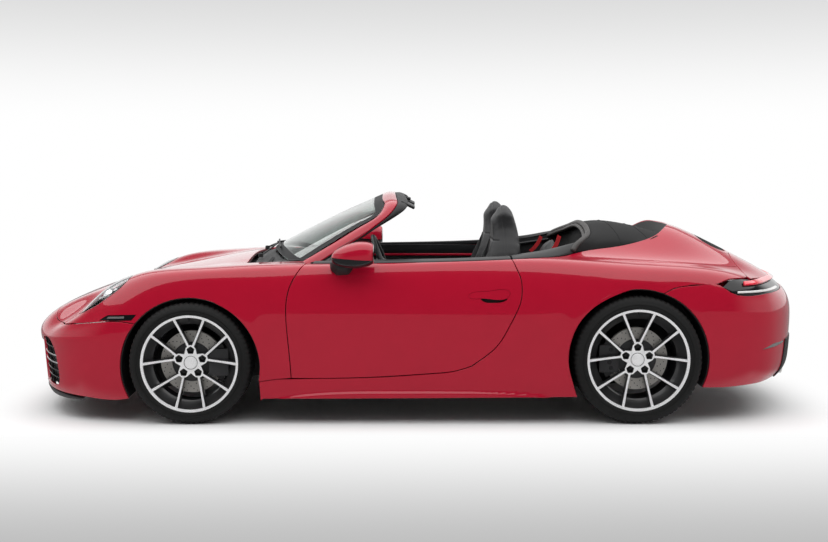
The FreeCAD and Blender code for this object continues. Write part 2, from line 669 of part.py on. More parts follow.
WALL = value("bulkhead")
BULKHEAD_X = FRONT.x + FRONT.radius + LINER_GAP + LINER + RUN      # front face of the front bulkhead
CABIN_FRONT = at(0.225)
CABIN_REAR = at(0.885)                                             # front face of the rear bulkhead
FLOOR_LOW = value("floor_height")
FLOOR_TOP = value("floor_height + floor_thickness")
SKIRT_TOP = DOOR_LOW - SEAM
NOSE_SEAM = high(0.442)
TAIL_SEAM = high(0.561)
LAMP_TOP = high(0.592)
HOOD_REAR = at(HOOD_PLAN[-1][0])
LID_FRONT = at(LID_PLAN[0][0])


def plan_of(table):
    return [(at(s), wide(w)) for s, w in table]


def whole(table):
    """Both halves of a plan outline."""
    half = plan_of(table)
    return half + [(x, -y) for x, y in reversed(half) if y < 0]


def over(table, extra=0.0, low=NOSE_SEAM):
    """Everything above a plan outline, grown by extra."""
    outline = whole(table)
    return plan_prism(grown(outline, extra) if extra else outline, low, FAR)


def slab(depth):
    """The outermost depth of the body, measured straight down."""
    return OUTER.cut(OUTER.translated(Vector(0, 0, -depth)))


DOOR_IN = CABIN_Y + CLEAR                                           # the door's inner side
door_cut = side_prism(grown(door_line, SEAM), -FAR, -CABIN_Y)
doors_cut = both(door_cut)
arches = [FRONT.cut(), mirrored(FRONT.cut()), REAR.cut(), mirrored(REAR.cut())]

# ---------------------------------------------------------------- headlights
LAMP_R = value("headlight_radius")
LAMP_Y, LAMP_Z = wide(0.775), high(0.556)


def lamp_bore(radius):
    return Part.makeCylinder(radius, at(-0.1) - at(-0.8), Vector(at(-0.8), -LAMP_Y, LAMP_Z), Vector(1, 0, 0))


LAMP_DEPTH = Vector(60, 0, -45)
headlight = OUTER.common(lamp_bore(LAMP_R)).cut(OUTER.translated(LAMP_DEPTH))
headlight = headlight.cut(FRONT.cut(LINER_GAP + LINER + RUN))
shaped("headlights", both(headlight))
lamp_cut = both(lamp_bore(LAMP_R + FIXED))

# ---------------------------------------------------------------- hood's hinge line and hole
LID_DEPTH = value("lid_hinge_depth")
LID_BACK = value("lid_hinge_setback")
HOOD_HINGE_Y = FRONT.inner - 60
HOOD_HINGE = (HOOD_REAR - LID_BACK, surface_z(HOOD_REAR - LID_BACK, HOOD_HINGE_Y) - LID_DEPTH)
hood_half = SEAM - wide(HOOD_PLAN[-1][1])
hood_hole = over(HOOD_PLAN, SEAM)
hood_hole = hood_hole.fuse(box(HOOD_REAR - 1, HOOD_REAR + LID_GAP, -hood_half, hood_half, NOSE_SEAM, FAR))

# ---------------------------------------------------------------- nose
HOOD_NOSE = at(HOOD_PLAN[0][0])
bumper_side = [(-FAR, -FAR), (FRONT.x, -FAR), (FRONT.x, NOSE_SEAM), (HOOD_NOSE, NOSE_SEAM),
               (HOOD_NOSE, FAR), (-FAR, FAR)]
nose = side_prism(bumper_side, -FAR, FAR)
INTAKES = (
    # share of HALF_WIDTH from and to, share of HEIGHT from and to
    (-0.26, 0.26, 0.150, 0.300),
    (-0.72, -0.36, 0.150, 0.325),
    (0.36, 0.72, 0.150, 0.325),
)
intake_cuts = [box(-FAR, at(-0.55), wide(y0), wide(y1), high(z0), high(z1)) for y0, y1, z0, z1 in INTAKES]
front_bumper = SHELL.common(nose).cut(arches[:2] + [lamp_cut, hood_hole] + intake_cuts)
front_bumper = front_bumper.cut(box(at(-0.55), FAR, wide(-0.62), wide(0.62), -FAR, high(0.18)))
shaped("front_bumper", front_bumper)

GRILLE_LAP = 12
grille_skin = ROOM.cut(body_solid(SKIN + RUN + value("grille_depth")))
grilles = [grille_skin.common(box(-FAR, at(-0.55), wide(y0) - GRILLE_LAP, wide(y1) + GRILLE_LAP,
                                  high(z0) - GRILLE_LAP, high(z1) + GRILLE_LAP))
           for y0, y1, z0, z1 in INTAKES]
shaped("front_grilles", Part.makeCompound(grilles))

SPLITTER = value("splitter")
splitter_plan = [(at(row[0]) - 8, -wide(row[1]) - 14) for row in BODY[1:5]]
splitter_low = high(min(row[2] for row in BODY[:5])) - FIXED - SPLITTER
splitter = plan_symmetric(splitter_plan + [(at(-0.6), -wide(0.5))], splitter_low, splitter_low + SPLITTER)
splitter = splitter.fuse(plan_symmetric([(at(-0.97) + 6, -wide(0.4)), (at(-0.89), -wide(0.56)),
                                        (at(-0.6), -wide(0.56))], splitter_low, splitter_low + SPLITTER))
shaped("front_splitter", splitter)


# ---------------------------------------------------------------- hood, cowl and fenders
def hinge_eye(x, y, z):
    """An eye about Y with a strap up to the lid."""
    eye = across(EYE_R, x, z, y - EYE / 2, y + EYE / 2)
    strap = box(x - EYE_R, x + EYE_R, y - EYE / 2, y + EYE / 2, z, z + LID_DEPTH - SKIN / 2)
    return eye.fuse(strap).cut(across(PIN_R + RUN, x, z, y - EYE, y + EYE))


def hinge_post(x, y, z, low):
    """A fork that stands on the body and carries the lid's pin."""
    reach = EYE / 2 + RUN
    pin = across(PIN_R, x, z, y - reach - 8, y + reach + 8)
    cheeks = [box(x - PIN_R, x + PIN_R, min(y + s * reach, y + s * (reach + 8)),
                  max(y + s * reach, y + s * (reach + 8)), low, z) for s in (-1, 1)]
    base = box(x - PIN_R, x + PIN_R, y - reach - 8, y + reach + 8, low, z - EYE_R - CLEAR)
    return fused(pin, base, *cheeks)


hood_skin = SHELL.common(over(HOOD_PLAN))
hood_eyes = [hinge_eye(HOOD_HINGE[0], y, HOOD_HINGE[1]) for y in (-HOOD_HINGE_Y, HOOD_HINGE_Y)]
shaped("hood", fused(hood_skin, *hood_eyes).common(OUTER))

COWL_WIDE = 0.72
cowl = SHELL.common(box(HOOD_REAR + LID_GAP, CABIN_FRONT, wide(-COWL_WIDE), wide(COWL_WIDE), high(0.6), FAR))
shaped("cowl_panel", cowl)

fender_side = [(at(-0.93), NOSE_SEAM + FIXED), (FRONT.x, NOSE_SEAM + FIXED), (FRONT.x, SKIRT_TOP),
               (at(0.3), SKIRT_TOP), (at(0.3), FAR), (at(-0.93), FAR)]
fender = SHELL.common(side_prism(fender_side, -FAR, -wide(0.2)))
fender = fender.cut([hood_hole, door_cut, arches[0], lamp_cut])
fender_ends = (
    # x from, y from, z from, z to; each cut runs back and in to the middle
    (HOOD_REAR, wide(-COWL_WIDE) - FIXED, high(0.6), FAR),
    (FRONT.x + 1, -CABIN_Y + 60, -FAR, high(0.6)),
    (at(0.262), -FAR, -FAR, FAR),
    (at(0.2235), -FAR, -FAR, high(0.5)),
)
fender = fender.cut([box(x, FAR, y, 0, low, top) for x, y, low, top in fender_ends])
fender = fender.cut([box(HOOD_NOSE - FIXED, HOOD_REAR, wide(-0.3), 0, 0, FAR),
                     box(-FAR, HOOD_NOSE + FIXED, -FAR, 0, 0, FAR)])
shaped("front_fenders", both(fender))

# ---------------------------------------------------------------- sides
skirt = SHELL.common(box(FRONT.x, REAR.x, -FAR, -CABIN_Y, -FAR, SKIRT_TOP - FIXED))
skirt = skirt.cut(arches[::2] + [door_cut])
shaped("side_skirts", both(skirt))

CORE_FRONT = HINGE_X + EYE_R * 2 + CLEAR
core_line = [(CORE_FRONT, high(0.79)), (CORE_FRONT, DOOR_LOW + SKIN)]
core_line += [(x - 20, z + 10) for x, z in door_line[8:]]
door_skin = SHELL.common(side_prism(door_line, -FAR, -DOOR_IN))
door_core = OUTER.common(side_prism(core_line, -FAR, -DOOR_IN))


def door_hinge(level):
    """The door's half of a hinge: a pin held above and below the body's eye."""
    reach, half = EYE / 2 + 20, EYE_R - 2
    pin = upright(PIN_R, HINGE_X, -HINGE_Y, level - reach, level + reach)
    arms = [box(HINGE_X - half, CORE_FRONT + 5, -HINGE_Y - half, half - HINGE_Y, low, low + 18)
            for low in (level - reach, level + EYE / 2 + 2)]
    return pin.fuse(arms)


hinge_posts = []
for level in HINGE_LEVELS:
    eye = upright(EYE_R, HINGE_X, -HINGE_Y, level - EYE / 2, level + EYE / 2)
    arm = box(HINGE_X - EYE_R, HINGE_X + EYE_R, -HINGE_Y, -CABIN_Y + 15, level - EYE / 2, level + EYE / 2)
    hinge_posts.append(eye.fuse(arm).cut(upright(PIN_R + RUN, HINGE_X, -HINGE_Y, 0, FAR)))

door = fused(door_skin, door_core, *[door_hinge(level) for level in HINGE_LEVELS])
shaped("door_left", door)
shaped("door_right", mirrored(door))

MIRROR_X = at(0.355)
MIRROR_LOW, MIRROR_TOP = high(0.705), high(0.790)
MIRROR_IN, MIRROR_OUT = wide(0.925), wide(1.093)
mirror_head = box(MIRROR_X - value("mirror_depth") / 2, MIRROR_X + value("mirror_depth") / 2,
                  -MIRROR_OUT, -MIRROR_IN, MIRROR_LOW, MIRROR_TOP)
mirror_head = mirror_head.makeFillet(value("mirror_depth") / 4, mirror_head.Edges)
mirror_foot = box(MIRROR_X - 45, MIRROR_X + 25, -MIRROR_IN - 30, -wide(0.88), high(0.64), MIRROR_LOW + 30)
mirror = mirror_foot.cut(OUTER).fuse(mirror_head)
shaped("door_mirror_left", mirror)
shaped("door_mirror_right", mirrored(mirror))

# ---------------------------------------------------------------- tail
LAMP_FRONT = 1.40
lamp_region = box(at(LAMP_FRONT), FAR, -FAR, FAR, TAIL_SEAM, LAMP_TOP)
lamp_solid = OUTER.cut(body_solid(value("lamp_depth"))).common(lamp_region)
shaped("rear_lights", lamp_solid)

spoiler_region = over(SPOILER_PLAN, 0, LAMP_TOP + CLEAR)
spoiler = slab(value("spoiler_depth")).common(spoiler_region)
SPOILER_X = at(1.73)
SPOILER_AXIS = Vector(0.5, 0, 1).normalize()
SPOILER_TRAVEL = value("spoiler_travel")
SPOILER_ROD = value("spoiler_rod")


def spoiler_rod(radius, y, top, length):
    start = Vector(SPOILER_X, y, high(0.60)) + SPOILER_AXIS * top
    return rod(radius, start - SPOILER_AXIS * length, start)


rods = [spoiler_rod(SPOILER_ROD, y, 40, 200) for y in (wide(-0.3), wide(0.3))]
sockets = [spoiler_rod(SPOILER_ROD + 8, y, -40, 180) for y in (wide(-0.3), wide(0.3))]
socket_bores = [spoiler_rod(SPOILER_ROD + RUN, y, 200, 500) for y in (wide(-0.3), wide(0.3))]
shaped("rear_spoiler", fused(spoiler, *[piece.common(OUTER) for piece in rods]))

PIPE_R = value("exhaust_radius")
exhausts = [y * side for y in (value("exhaust_y"), value("exhaust_y") + PIPE_R * 2 + 12) for side in (-1, 1)]
EXHAUST_Z = high(0.205)
exhaust_holes = [rod(PIPE_R + FIXED, Vector(0, y, EXHAUST_Z), Vector(FAR, y, EXHAUST_Z)) for y in exhausts]
tail_side = [(REAR.x, -FAR), (FAR, -FAR), (FAR, TAIL_SEAM - FIXED), (REAR.x, TAIL_SEAM - FIXED)]
rear_bumper = SHELL.common(side_prism(tail_side, -FAR, FAR)).cut(arches[2:] + exhaust_holes)
rear_bumper = rear_bumper.cut(box(REAR.x - 1, at(1.72), -REAR.inner, REAR.inner, -FAR, high(0.3)))
shaped("rear_bumper", rear_bumper)

deck_hole = over(DECK_PLAN, FIXED)
quarter = SHELL.common(box(at(0.66), FAR, -FAR, FAR, SKIRT_TOP, FAR))
quarter = quarter.cut([deck_hole, doors_cut, over(SPOILER_PLAN, SEAM, LAMP_TOP)] + arches[2:])
quarter_ends = (
    # x from and to, half-width, z from and to
    (at(0.6), at(DECK_PLAN[0][0]) + FIXED, CABIN_Y, -FAR, FAR),
    (at(0.6), REAR.x, wide(0.6), -FAR, high(0.5)),
    (REAR.x, FAR, FAR, -FAR, TAIL_SEAM),
    (at(LAMP_FRONT) - FIXED, FAR, FAR, TAIL_SEAM - 1, LAMP_TOP + FIXED),
)
quarter = quarter.cut([box(x0, x1, -half, half, low, top) for x0, x1, half, low, top in quarter_ends])
shaped("rear_quarters", quarter)

# ---------------------------------------------------------------- deck, folded top and engine lid
LID_HINGE_Y = wide(0.3)
LID_HINGE = (LID_FRONT + LID_BACK, surface_z(LID_FRONT + LID_BACK, LID_HINGE_Y) - LID_DEPTH)
lid_half = SEAM - wide(LID_PLAN[0][1])
lid_hole = over(LID_PLAN, SEAM)
lid_hole = lid_hole.fuse(box(LID_FRONT - LID_GAP, LID_FRONT + 1, -lid_half, lid_half, NOSE_SEAM, FAR))
deck = SHELL.common(over(DECK_PLAN)).cut([over(COVER_PLAN, FIXED), lid_hole, door_cut, mirrored(door_cut),
                                          over(SPOILER_PLAN, SEAM, LAMP_TOP)])
deck = deck.cut(box(at(0.6), CABIN_REAR, wide(-0.9), wide(0.9), 0, FAR))
shaped("soft_top_lid", deck)
TOP_STACK = value("top_stack")
shaped("folded_soft_top", slab(TOP_STACK).common(over(COVER_PLAN)))
lid_eyes = [hinge_eye(LID_HINGE[0], y, LID_HINGE[1]) for y in (-LID_HINGE_Y, LID_HINGE_Y)]
shaped("rear_lid", fused(SHELL.common(over(LID_PLAN)), *lid_eyes).common(OUTER))

# ---------------------------------------------------------------- floor, bulkheads and posts
REAR_WALL_TOP = ROOM.translated(Vector(0, 0, -TOP_STACK - RUN))
pan = box(BULKHEAD_X, CABIN_REAR + WALL, -FAR, FAR, FLOOR_LOW, FLOOR_TOP).common(ROOM)
room_for_wheels = [REAR.cut(LINER_GAP + LINER + RUN, REAR.inner - RUN), FRONT.cut(LINER_GAP + LINER + RUN, 0)]
room_for_wheels += [mirrored(piece) for piece in room_for_wheels]
pan = pan.cut(room_for_wheels)
bulkhead = box(BULKHEAD_X, BULKHEAD_X + WALL, -FAR, FAR, FLOOR_LOW, FAR).common(ROOM)
rear_wall = box(CABIN_REAR, CABIN_REAR + WALL, RUN - REAR.inner, REAR.inner - RUN, FLOOR_LOW, FAR)
rear_wall = rear_wall.common(REAR_WALL_TOP)
seat_pan = box(at(0.77), CABIN_REAR, RUN - REAR.inner, REAR.inner - RUN, FLOOR_TOP - 1, high(0.26))
INNER_Y = CABIN_Y - CLEAR                                           # outer side of sills and posts
SILL_IN = value("sill_width") - INNER_Y
sill = box(BULKHEAD_X, at(0.80), -INNER_Y, SILL_IN, FLOOR_TOP - 1, FLOOR_TOP + value("sill_height"))
post = box(HINGE_X - 30, HINGE_X + 40, -INNER_Y, value("post_depth") - INNER_Y, FLOOR_TOP, high(0.66))
latch_x = DOOR_REAR + SEAM + CLEAR
latch_post = box(latch_x, latch_x + WALL, -FAR, SILL_IN, FLOOR_TOP - 1, FAR)
latch_post = latch_post.common(ROOM).cut(door_cut)
rail_top = HOOD_HINGE[1] - 90
rail = box(HOOD_HINGE[0] - 40, BULKHEAD_X + 1, -HOOD_HINGE_Y - 30, 30 - HOOD_HINGE_Y, rail_top - 60, rail_top)
hood_post = hinge_post(HOOD_HINGE[0], -HOOD_HINGE_Y, HOOD_HINGE[1], rail_top - 1)
PAD, PAD_Y = value("jack_pad"), value("jack_pad_y")
PAD_LOW = FLOOR_LOW - value("jack_pad_drop")
jack_pads = [box(x - PAD / 2, x + PAD / 2, -PAD_Y - PAD / 2, PAD / 2 - PAD_Y, PAD_LOW, FLOOR_LOW + 1)
             for x in (at(0.20), at(0.81))]
side_parts = [sill.cut(room_for_wheels), post, latch_post, rail, hood_post] + hinge_posts + jack_pads
shaped("body_tub", fused(pan, bulkhead, rear_wall, seat_pan, *side_parts, *[mirrored(p) for p in side_parts]))

# ---------------------------------------------------------------- wheel housings and luggage tub
front_housing = housing(FRONT, FRONT.hub_z + PIN_REACH + ARM * 1.5)
rear_housing = housing(REAR, REAR.hub_z + 150)
shaped("wheel_housings", Part.makeCompound([both(front_housing), both(rear_housing)]))

TUB = value("tub_wall")
TUB_X = (at(-0.55), at(0.06))
TUB_LOW = FRONT.hub_z - PIN_REACH + ARM * 1.5 + RUN
TUB_Y = FRONT.inner - 64 - RUN
TUB_DROP = SKIN + CLEAR + 20


def tub_block(x0, x1, half, low, lift):
    top = [(x, surface_z(x, half) - TUB_DROP + lift) for x in (x1, at(-0.2), x0)]
    return side_prism([(x0, low), (x1, low)] + top, -half, half)


tub = tub_block(*TUB_X, TUB_Y, TUB_LOW, 0)
shaped("front_trunk_tub", tub.cut(tub_block(TUB_X[0] + TUB, TUB_X[1] - TUB, TUB_Y - TUB, TUB_LOW + TUB, 100)))

# ---------------------------------------------------------------- frame under the deck
def beam_across(x, z):
    """A cross-member from one side panel to the other."""
    return box(x - 15, x + 15, -FAR, FAR, z - 30, z).common(ROOM)


lid_beam_z = LID_HINGE[1] - 90
lid_posts = [hinge_post(LID_HINGE[0], y, LID_HINGE[1], lid_beam_z - 1) for y in (-LID_HINGE_Y, LID_HINGE_Y)]
lid_frame = fused(beam_across(LID_HINGE[0], lid_beam_z), *lid_posts)
socket_frame = fused(beam_across(SPOILER_X - 60, high(0.50)), *sockets).cut(socket_bores)
shaped("deck_frame", Part.makeCompound([lid_frame, socket_frame]))


# ---------------------------------------------------------------- windscreen
POST_Y = CABIN_Y - CLEAR - value("pillar") / 2
GLASS = value("glass")
# The glass is a row of straight strips between a bowed foot and a bowed head.
FOOT_MIDDLE, FOOT_SIDE = Vector(at(0.155), 0, high(0.738)), Vector(at(0.245), POST_Y - 26, high(0.690))
HEAD_MIDDLE, HEAD_SIDE = Vector(at(0.425), 0, HEIGHT - 12), Vector(at(0.440), POST_Y - 134, HEIGHT - 38)
SLOPE = (HEAD_SIDE - FOOT_SIDE).normalize()
LEAN = Vector(HEAD_SIDE.x - FOOT_SIDE.x, 0, HEAD_SIDE.z - FOOT_SIDE.z).normalize()
OUTWARD = Vector(-LEAN.z, 0, LEAN.x).normalize()          # square to the glass, forwards and up
STRIPS = 4


def bowed(middle, side, share):
    """A point on a bowed edge; share runs from -1 at the left pillar to 1 at the right one."""
    bow = share * share
    return Vector(middle.x + (side.x - middle.x) * bow, side.y * share, middle.z + (side.z - middle.z) * bow)


def strip_edge(share, depth, extra=0.0):
    foot = bowed(FOOT_MIDDLE, FOOT_SIDE, share) - LEAN * extra
    head = bowed(HEAD_MIDDLE, HEAD_SIDE, share)
    back = OUTWARD * -depth
    return Part.makePolygon([foot, head, head + back, foot + back, foot])


shares = [-1 + 2 * k / STRIPS for k in range(STRIPS + 1)]
pane = Part.makeLoft([strip_edge(share, GLASS) for share in shares], True, True)
shaped("windscreen", pane.cut(body_solid(-RUN)))

PILLAR = value("pillar")
PROUD = 4                                                 # frame outside the glass


def pillar(sign):
    """From the bulkhead's end up to the header, beside the glass."""
    foot, head = FOOT_SIDE - SLOPE * 60, HEAD_SIDE + SLOPE * 20
    foot, head = (Vector(end.x, sign * (end.y + RUN), end.z) for end in (foot, head))
    wide_way = Vector(0, sign * (PILLAR - 2), 0)
    deep_way = OUTWARD * -PILLAR
    loops = []
    for end in (foot, head):
        proud = end + OUTWARD * PROUD
        loops.append(Part.makePolygon([proud, proud + wide_way, proud + wide_way + deep_way,
                                       proud + deep_way, proud]))
    return Part.makeLoft(loops, True, True)


def header_section(share):
    place = bowed(HEAD_MIDDLE, HEAD_SIDE, share) + LEAN * RUN + OUTWARD * PROUD
    deep = OUTWARD * -34
    return Part.makePolygon([place, place + LEAN * PILLAR, place + LEAN * PILLAR + deep, place + deep, place])


header = Part.makeLoft([header_section(share) for share in shares], True, True)
frame_top = box(-FAR, FAR, -FAR, FAR, -FAR, HEIGHT)
screen_frame = fused(header, pillar(-1), pillar(1)).common(frame_top).cut(body_solid(-RUN))
shaped("windscreen_frame", screen_frame)

mirror_x, mirror_z = at(0.400), HEIGHT - 118
inside_mirror = box(mirror_x, mirror_x + 25, -115, 115, mirror_z - 32, mirror_z + 32)
mirror_stem = rod(8, Vector(mirror_x + 12, 0, mirror_z), HEAD_MIDDLE - OUTWARD * GLASS / 2 - LEAN * 20)
shaped("interior_mirror", inside_mirror.fuse(mirror_stem.cut(pane)))

# ---------------------------------------------------------------- dashboard, column and console
BULK_FACE = "front_tyre_radius + front_arch_gap + liner_gap + liner + running_gap * 2 + bulkhead"
DASH_FRONT = FRONT_AXLE + " + " + BULK_FACE
dash_body = new_body("dashboard_moulding")
padded(dash_body, "XZ_Plane", [
    (DASH_FRONT, "body_height * 0.530"), (FRONT_AXLE + " + wheelbase * 0.270", "body_height * 0.500"),
    (FRONT_AXLE + " + wheelbase * 0.320", "body_height * 0.510"),
    (FRONT_AXLE + " + wheelbase * 0.360", "body_height * 0.600"),
    (FRONT_AXLE + " + wheelbase * 0.365", "body_height * 0.680"),
    (FRONT_AXLE + " + wheelbase * 0.340", "body_height * 0.702"),
    (FRONT_AXLE + " + wheelbase * 0.295", "body_height * 0.702"),
    (FRONT_AXLE + " + wheelbase * 0.262", "body_height * 0.698"),
    (FRONT_AXLE + " + wheelbase * 0.232", "body_height * 0.690"),
    (FRONT_AXLE + " + wheelbase * 0.228", "body_height * 0.640"), (DASH_FRONT, "body_height * 0.640"),
], "(cabin_half_width - clearance * 2 - post_depth) * 2")
TILT = math.radians(value("column_tilt"))
COLUMN = Vector(math.cos(TILT), 0, math.sin(TILT))       # up the column, towards the driver
WHEEL_AT = Vector(at(0.430), -value("seat_y"), high(0.660))
TUBE_NEAR, TUBE_FAR = WHEEL_AT - COLUMN * 60, WHEEL_AT - COLUMN * 420
tube_r = value("column_radius")
shaft_bore = rod(value("shaft_radius") + RUN, TUBE_FAR + COLUMN * 100, TUBE_NEAR + COLUMN * 50)
shaped("steering_column", rod(tube_r, TUBE_FAR, TUBE_NEAR).cut(shaft_bore))
column_hole = primitive("Cylinder", "column_hole", Radius="column_radius + running_gap", Height="460")
column_hole.Placement = Placement(TUBE_NEAR - COLUMN * 400, Rotation(Vector(0, 0, 1), COLUMN))
without("dashboard", dash_body, column_hole)

# The steering wheel is made flat about its own Z axis, then tilted onto the column.
grip = primitive("Torus", "wheel_grip_ring", Radius1="wheel_rim_radius", Radius2="wheel_grip")
boss = primitive("Cylinder", "wheel_boss", ("0", "0", "-40"), Radius="wheel_rim_radius * 0.32", Height="50")
shaft = primitive("Cylinder", "wheel_shaft", ("0", "0", "-300"), Radius="shaft_radius", Height="280")
WHEEL_R, GRIP = "wheel_rim_radius", "wheel_grip"
arms = [block("wheel_arm_side", "-" + GRIP, GRIP, "-" + WHEEL_R, WHEEL_R, "-14", "-2"),
        block("wheel_arm_low", "0", WHEEL_R, "-" + GRIP, GRIP, "-14", "-2")]
steering_wheel = joined("steering_wheel", [grip, boss, shaft] + arms)
steering_wheel.Placement = Placement(WHEEL_AT, Rotation(Vector(0, 1, 0), 90 - value("column_tilt")))

console_body = new_body("centre_console")
padded(console_body, "XZ_Plane", [
    (FRONT_AXLE + " + wheelbase * 0.300", "floor_height + floor_thickness + running_gap"),
    (FRONT_AXLE + " + wheelbase * 0.740", "floor_height + floor_thickness + running_gap"),
    (FRONT_AXLE + " + wheelbase * 0.740", "body_height * 0.36"),
    (FRONT_AXLE + " + wheelbase * 0.520", "body_height * 0.38"),
    (FRONT_AXLE + " + wheelbase * 0.380", "body_height * 0.36"),
    (FRONT_AXLE + " + wheelbase * 0.310", "body_height * 0.44"),
    (FRONT_AXLE + " + wheelbase * 0.300", "body_height * 0.44"),
], "console_width")

# ---------------------------------------------------------------- seats
SEAT_X = FRONT_AXLE + " + wheelbase * 0.46 + "
FLOOR = "floor_height + floor_thickness + running_gap"
for node_name, sign in (("driver_seat", -1), ("passenger_seat", 1)):
    seat = new_body(node_name)
    padded(seat, "XZ_Plane", [(SEAT_X + x, FLOOR + " + " + z) for x, z in (
        ("0", "0"), ("500", "0"), ("560", "180"), ("705", "700"), ("690", "930"), ("655", "1010"),
        ("620", "1000"), ("600", "930"), ("590", "820"), ("545", "690"), ("440", "240"), ("370", "190"),
        ("10", "215"), ("-20", "180"))], "seat_width")
    placed(seat, "0", "%d * seat_y" % sign, "0")

bench = new_body("rear_seats")
padded(bench, "XZ_Plane", [
    (FRONT_AXLE + " + wheelbase * 0.775", "body_height * 0.26 + running_gap"),
    (FRONT_AXLE + " + wheelbase * 0.885 - running_gap", "body_height * 0.26 + running_gap"),
    (FRONT_AXLE + " + wheelbase * 0.885 - running_gap", "body_height * 0.76"),
    (FRONT_AXLE + " + wheelbase * 0.868", "body_height * 0.76"),
    (FRONT_AXLE + " + wheelbase * 0.845", "body_height * 0.44"),
    (FRONT_AXLE + " + wheelbase * 0.790", "body_height * 0.41"),
    (FRONT_AXLE + " + wheelbase * 0.775", "body_height * 0.39"),
], "(rear_wheel_y - rear_tyre_width / 2 - rear_well_depth - clearance) * 2")

# ---------------------------------------------------------------- engine and exhaust
ENGINE_FRONT = REAR_AXLE + " + 90 + running_gap"
ENGINE_REAR = REAR_AXLE + " + rear_overhang * 0.62"
engine = block("engine_block", ENGINE_FRONT, ENGINE_REAR, "-engine_width / 2", "engine_width / 2",
               "body_height * 0.17", "body_height * 0.50")
engine.Label = "engine_block"
pipes = []
for k, y in enumerate(exhausts):
    outer = primitive("Cylinder", "pipe_%d" % k, Radius="exhaust_radius", Height="rear_overhang * 0.35")
    inner = primitive("Cylinder", "pipe_bore_%d" % k, Radius="exhaust_radius - exhaust_wall",
                      Height="rear_overhang * 0.35 - 60")
    for tube, back in ((outer, 0), (inner, 61)):
        start = Vector(value(ENGINE_REAR) + RUN + back, y, EXHAUST_Z)
        tube.Placement = Placement(start, Rotation(Vector(0, 1, 0), 90))
    pipes.append(without("tail_pipe_%d" % k, outer, inner))
tips = doc.addObject("Part::Compound", "exhaust_tips")
tips.Label = "exhaust_tips"
tips.Links = pipes

# ---------------------------------------------------------------- check and write
NODES = ["%s_%s_%s" % (kind, end, side)
         for kind in ("tyre", "rim", "brake_disc") for end in AXLES for side, sign in SIDES]
NODES += """
    knuckle_front_left knuckle_front_right front_suspension rear_suspension headlights front_bumper
    front_grilles front_splitter hood cowl_panel front_fenders side_skirts door_left door_right
    door_mirror_left door_mirror_right rear_lights rear_spoiler rear_bumper rear_quarters soft_top_lid
    folded_soft_top rear_lid body_tub wheel_housings front_trunk_tub deck_frame windscreen
    windscreen_frame interior_mirror dashboard steering_column steering_wheel centre_console
    driver_seat passenger_seat rear_seats engine_block exhaust_tips
""".split()
doc.recompute()
failed = [node.Name for node in doc.Objects if {"Invalid", "Error"} & set(node.State)]
if failed:
    raise SystemExit("failed: " + ", ".join(failed))
shapes = {name: doc.getObjectsByLabel(name)[0].Shape for name in NODES}
for name, shape in shapes.items():
    if shape.isNull() or not shape.isValid() or not shape.Solids:
        raise SystemExit("bad shape: " + name)
for name, shape in shapes.items():
    shape.exportStep("parts/%s.step" % name)
print(len(NODES), "nodes written")
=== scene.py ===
"""Two-door convertible with its top down: paint, glass, wheels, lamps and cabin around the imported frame."""
import math

import bmesh
import bpy
import numpy as np
from mathutils import Matrix, Vector
from mathutils.bvhtree import BVHTree


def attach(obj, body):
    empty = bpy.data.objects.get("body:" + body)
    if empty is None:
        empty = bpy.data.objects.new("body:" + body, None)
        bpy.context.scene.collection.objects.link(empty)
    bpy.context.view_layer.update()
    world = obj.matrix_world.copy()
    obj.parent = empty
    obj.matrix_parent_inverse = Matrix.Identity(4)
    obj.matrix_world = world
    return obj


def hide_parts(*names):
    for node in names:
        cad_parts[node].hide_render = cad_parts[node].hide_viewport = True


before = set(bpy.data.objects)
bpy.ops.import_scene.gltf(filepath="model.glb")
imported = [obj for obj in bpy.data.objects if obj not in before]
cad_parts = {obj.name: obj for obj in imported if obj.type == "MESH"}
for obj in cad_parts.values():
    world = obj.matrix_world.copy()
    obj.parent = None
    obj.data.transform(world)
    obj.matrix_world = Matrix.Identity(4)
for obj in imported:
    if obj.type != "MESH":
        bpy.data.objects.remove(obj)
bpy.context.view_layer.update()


def in_scene(name, data):
    """A new object in the scene."""
    made = bpy.data.objects.new(name, data)
    bpy.context.scene.collection.objects.link(made)
    return made


# ---------------------------------------------------------------- camera
LENS, EYE, TILT_DOWN = 52.4, (-0.016, -7.405, 1.42), 5.06          # millimetres, metres, degrees
camera_data = bpy.data.cameras.new("camera")
camera_data.lens = LENS
camera_data.sensor_width = 36
camera = in_scene("camera", camera_data)
camera.location = EYE
camera.rotation_euler = (math.radians(90 - TILT_DOWN), 0, 0)
bpy.context.scene.camera = camera


# ---------------------------------------------------------------- curves
def curve(*knots):
    """A smooth curve through (place, value) pairs, straight beyond its ends."""
    x, y = np.array(knots, float).T
    h = np.diff(x)
    slopes = np.diff(y) / h
    system, right = np.eye(len(x)), np.zeros(len(x))
    for i in range(1, len(x) - 1):
        system[i, i - 1:i + 2] = h[i - 1], 2 * (h[i - 1] + h[i]), h[i]
        right[i] = 6 * (slopes[i] - slopes[i - 1])
    bend = np.linalg.solve(system, right)

    def at(place):
        inside = np.clip(place, x[0], x[-1])
        k = np.clip(np.searchsorted(x, inside) - 1, 0, len(h) - 1)
        t = inside - x[k]
        lean = slopes[k] - h[k] * (2 * bend[k] + bend[k + 1]) / 6
        curl = (bend[k + 1] - bend[k]) / h[k]
        level = y[k] + t * (lean + t * (bend[k] / 2 + t * curl / 6))
        return level + (place - inside) * (lean + t * (bend[k] + t * curl / 2))

    return at


def ease(t):
    """0 to 1 with level ends."""
    t = np.clip(t, 0, 1)
    return t ** 3 * (10 - 15 * t + 6 * t * t)


def bump(t):
    """A bell, 1 in its middle."""
    return np.exp(-t * t)


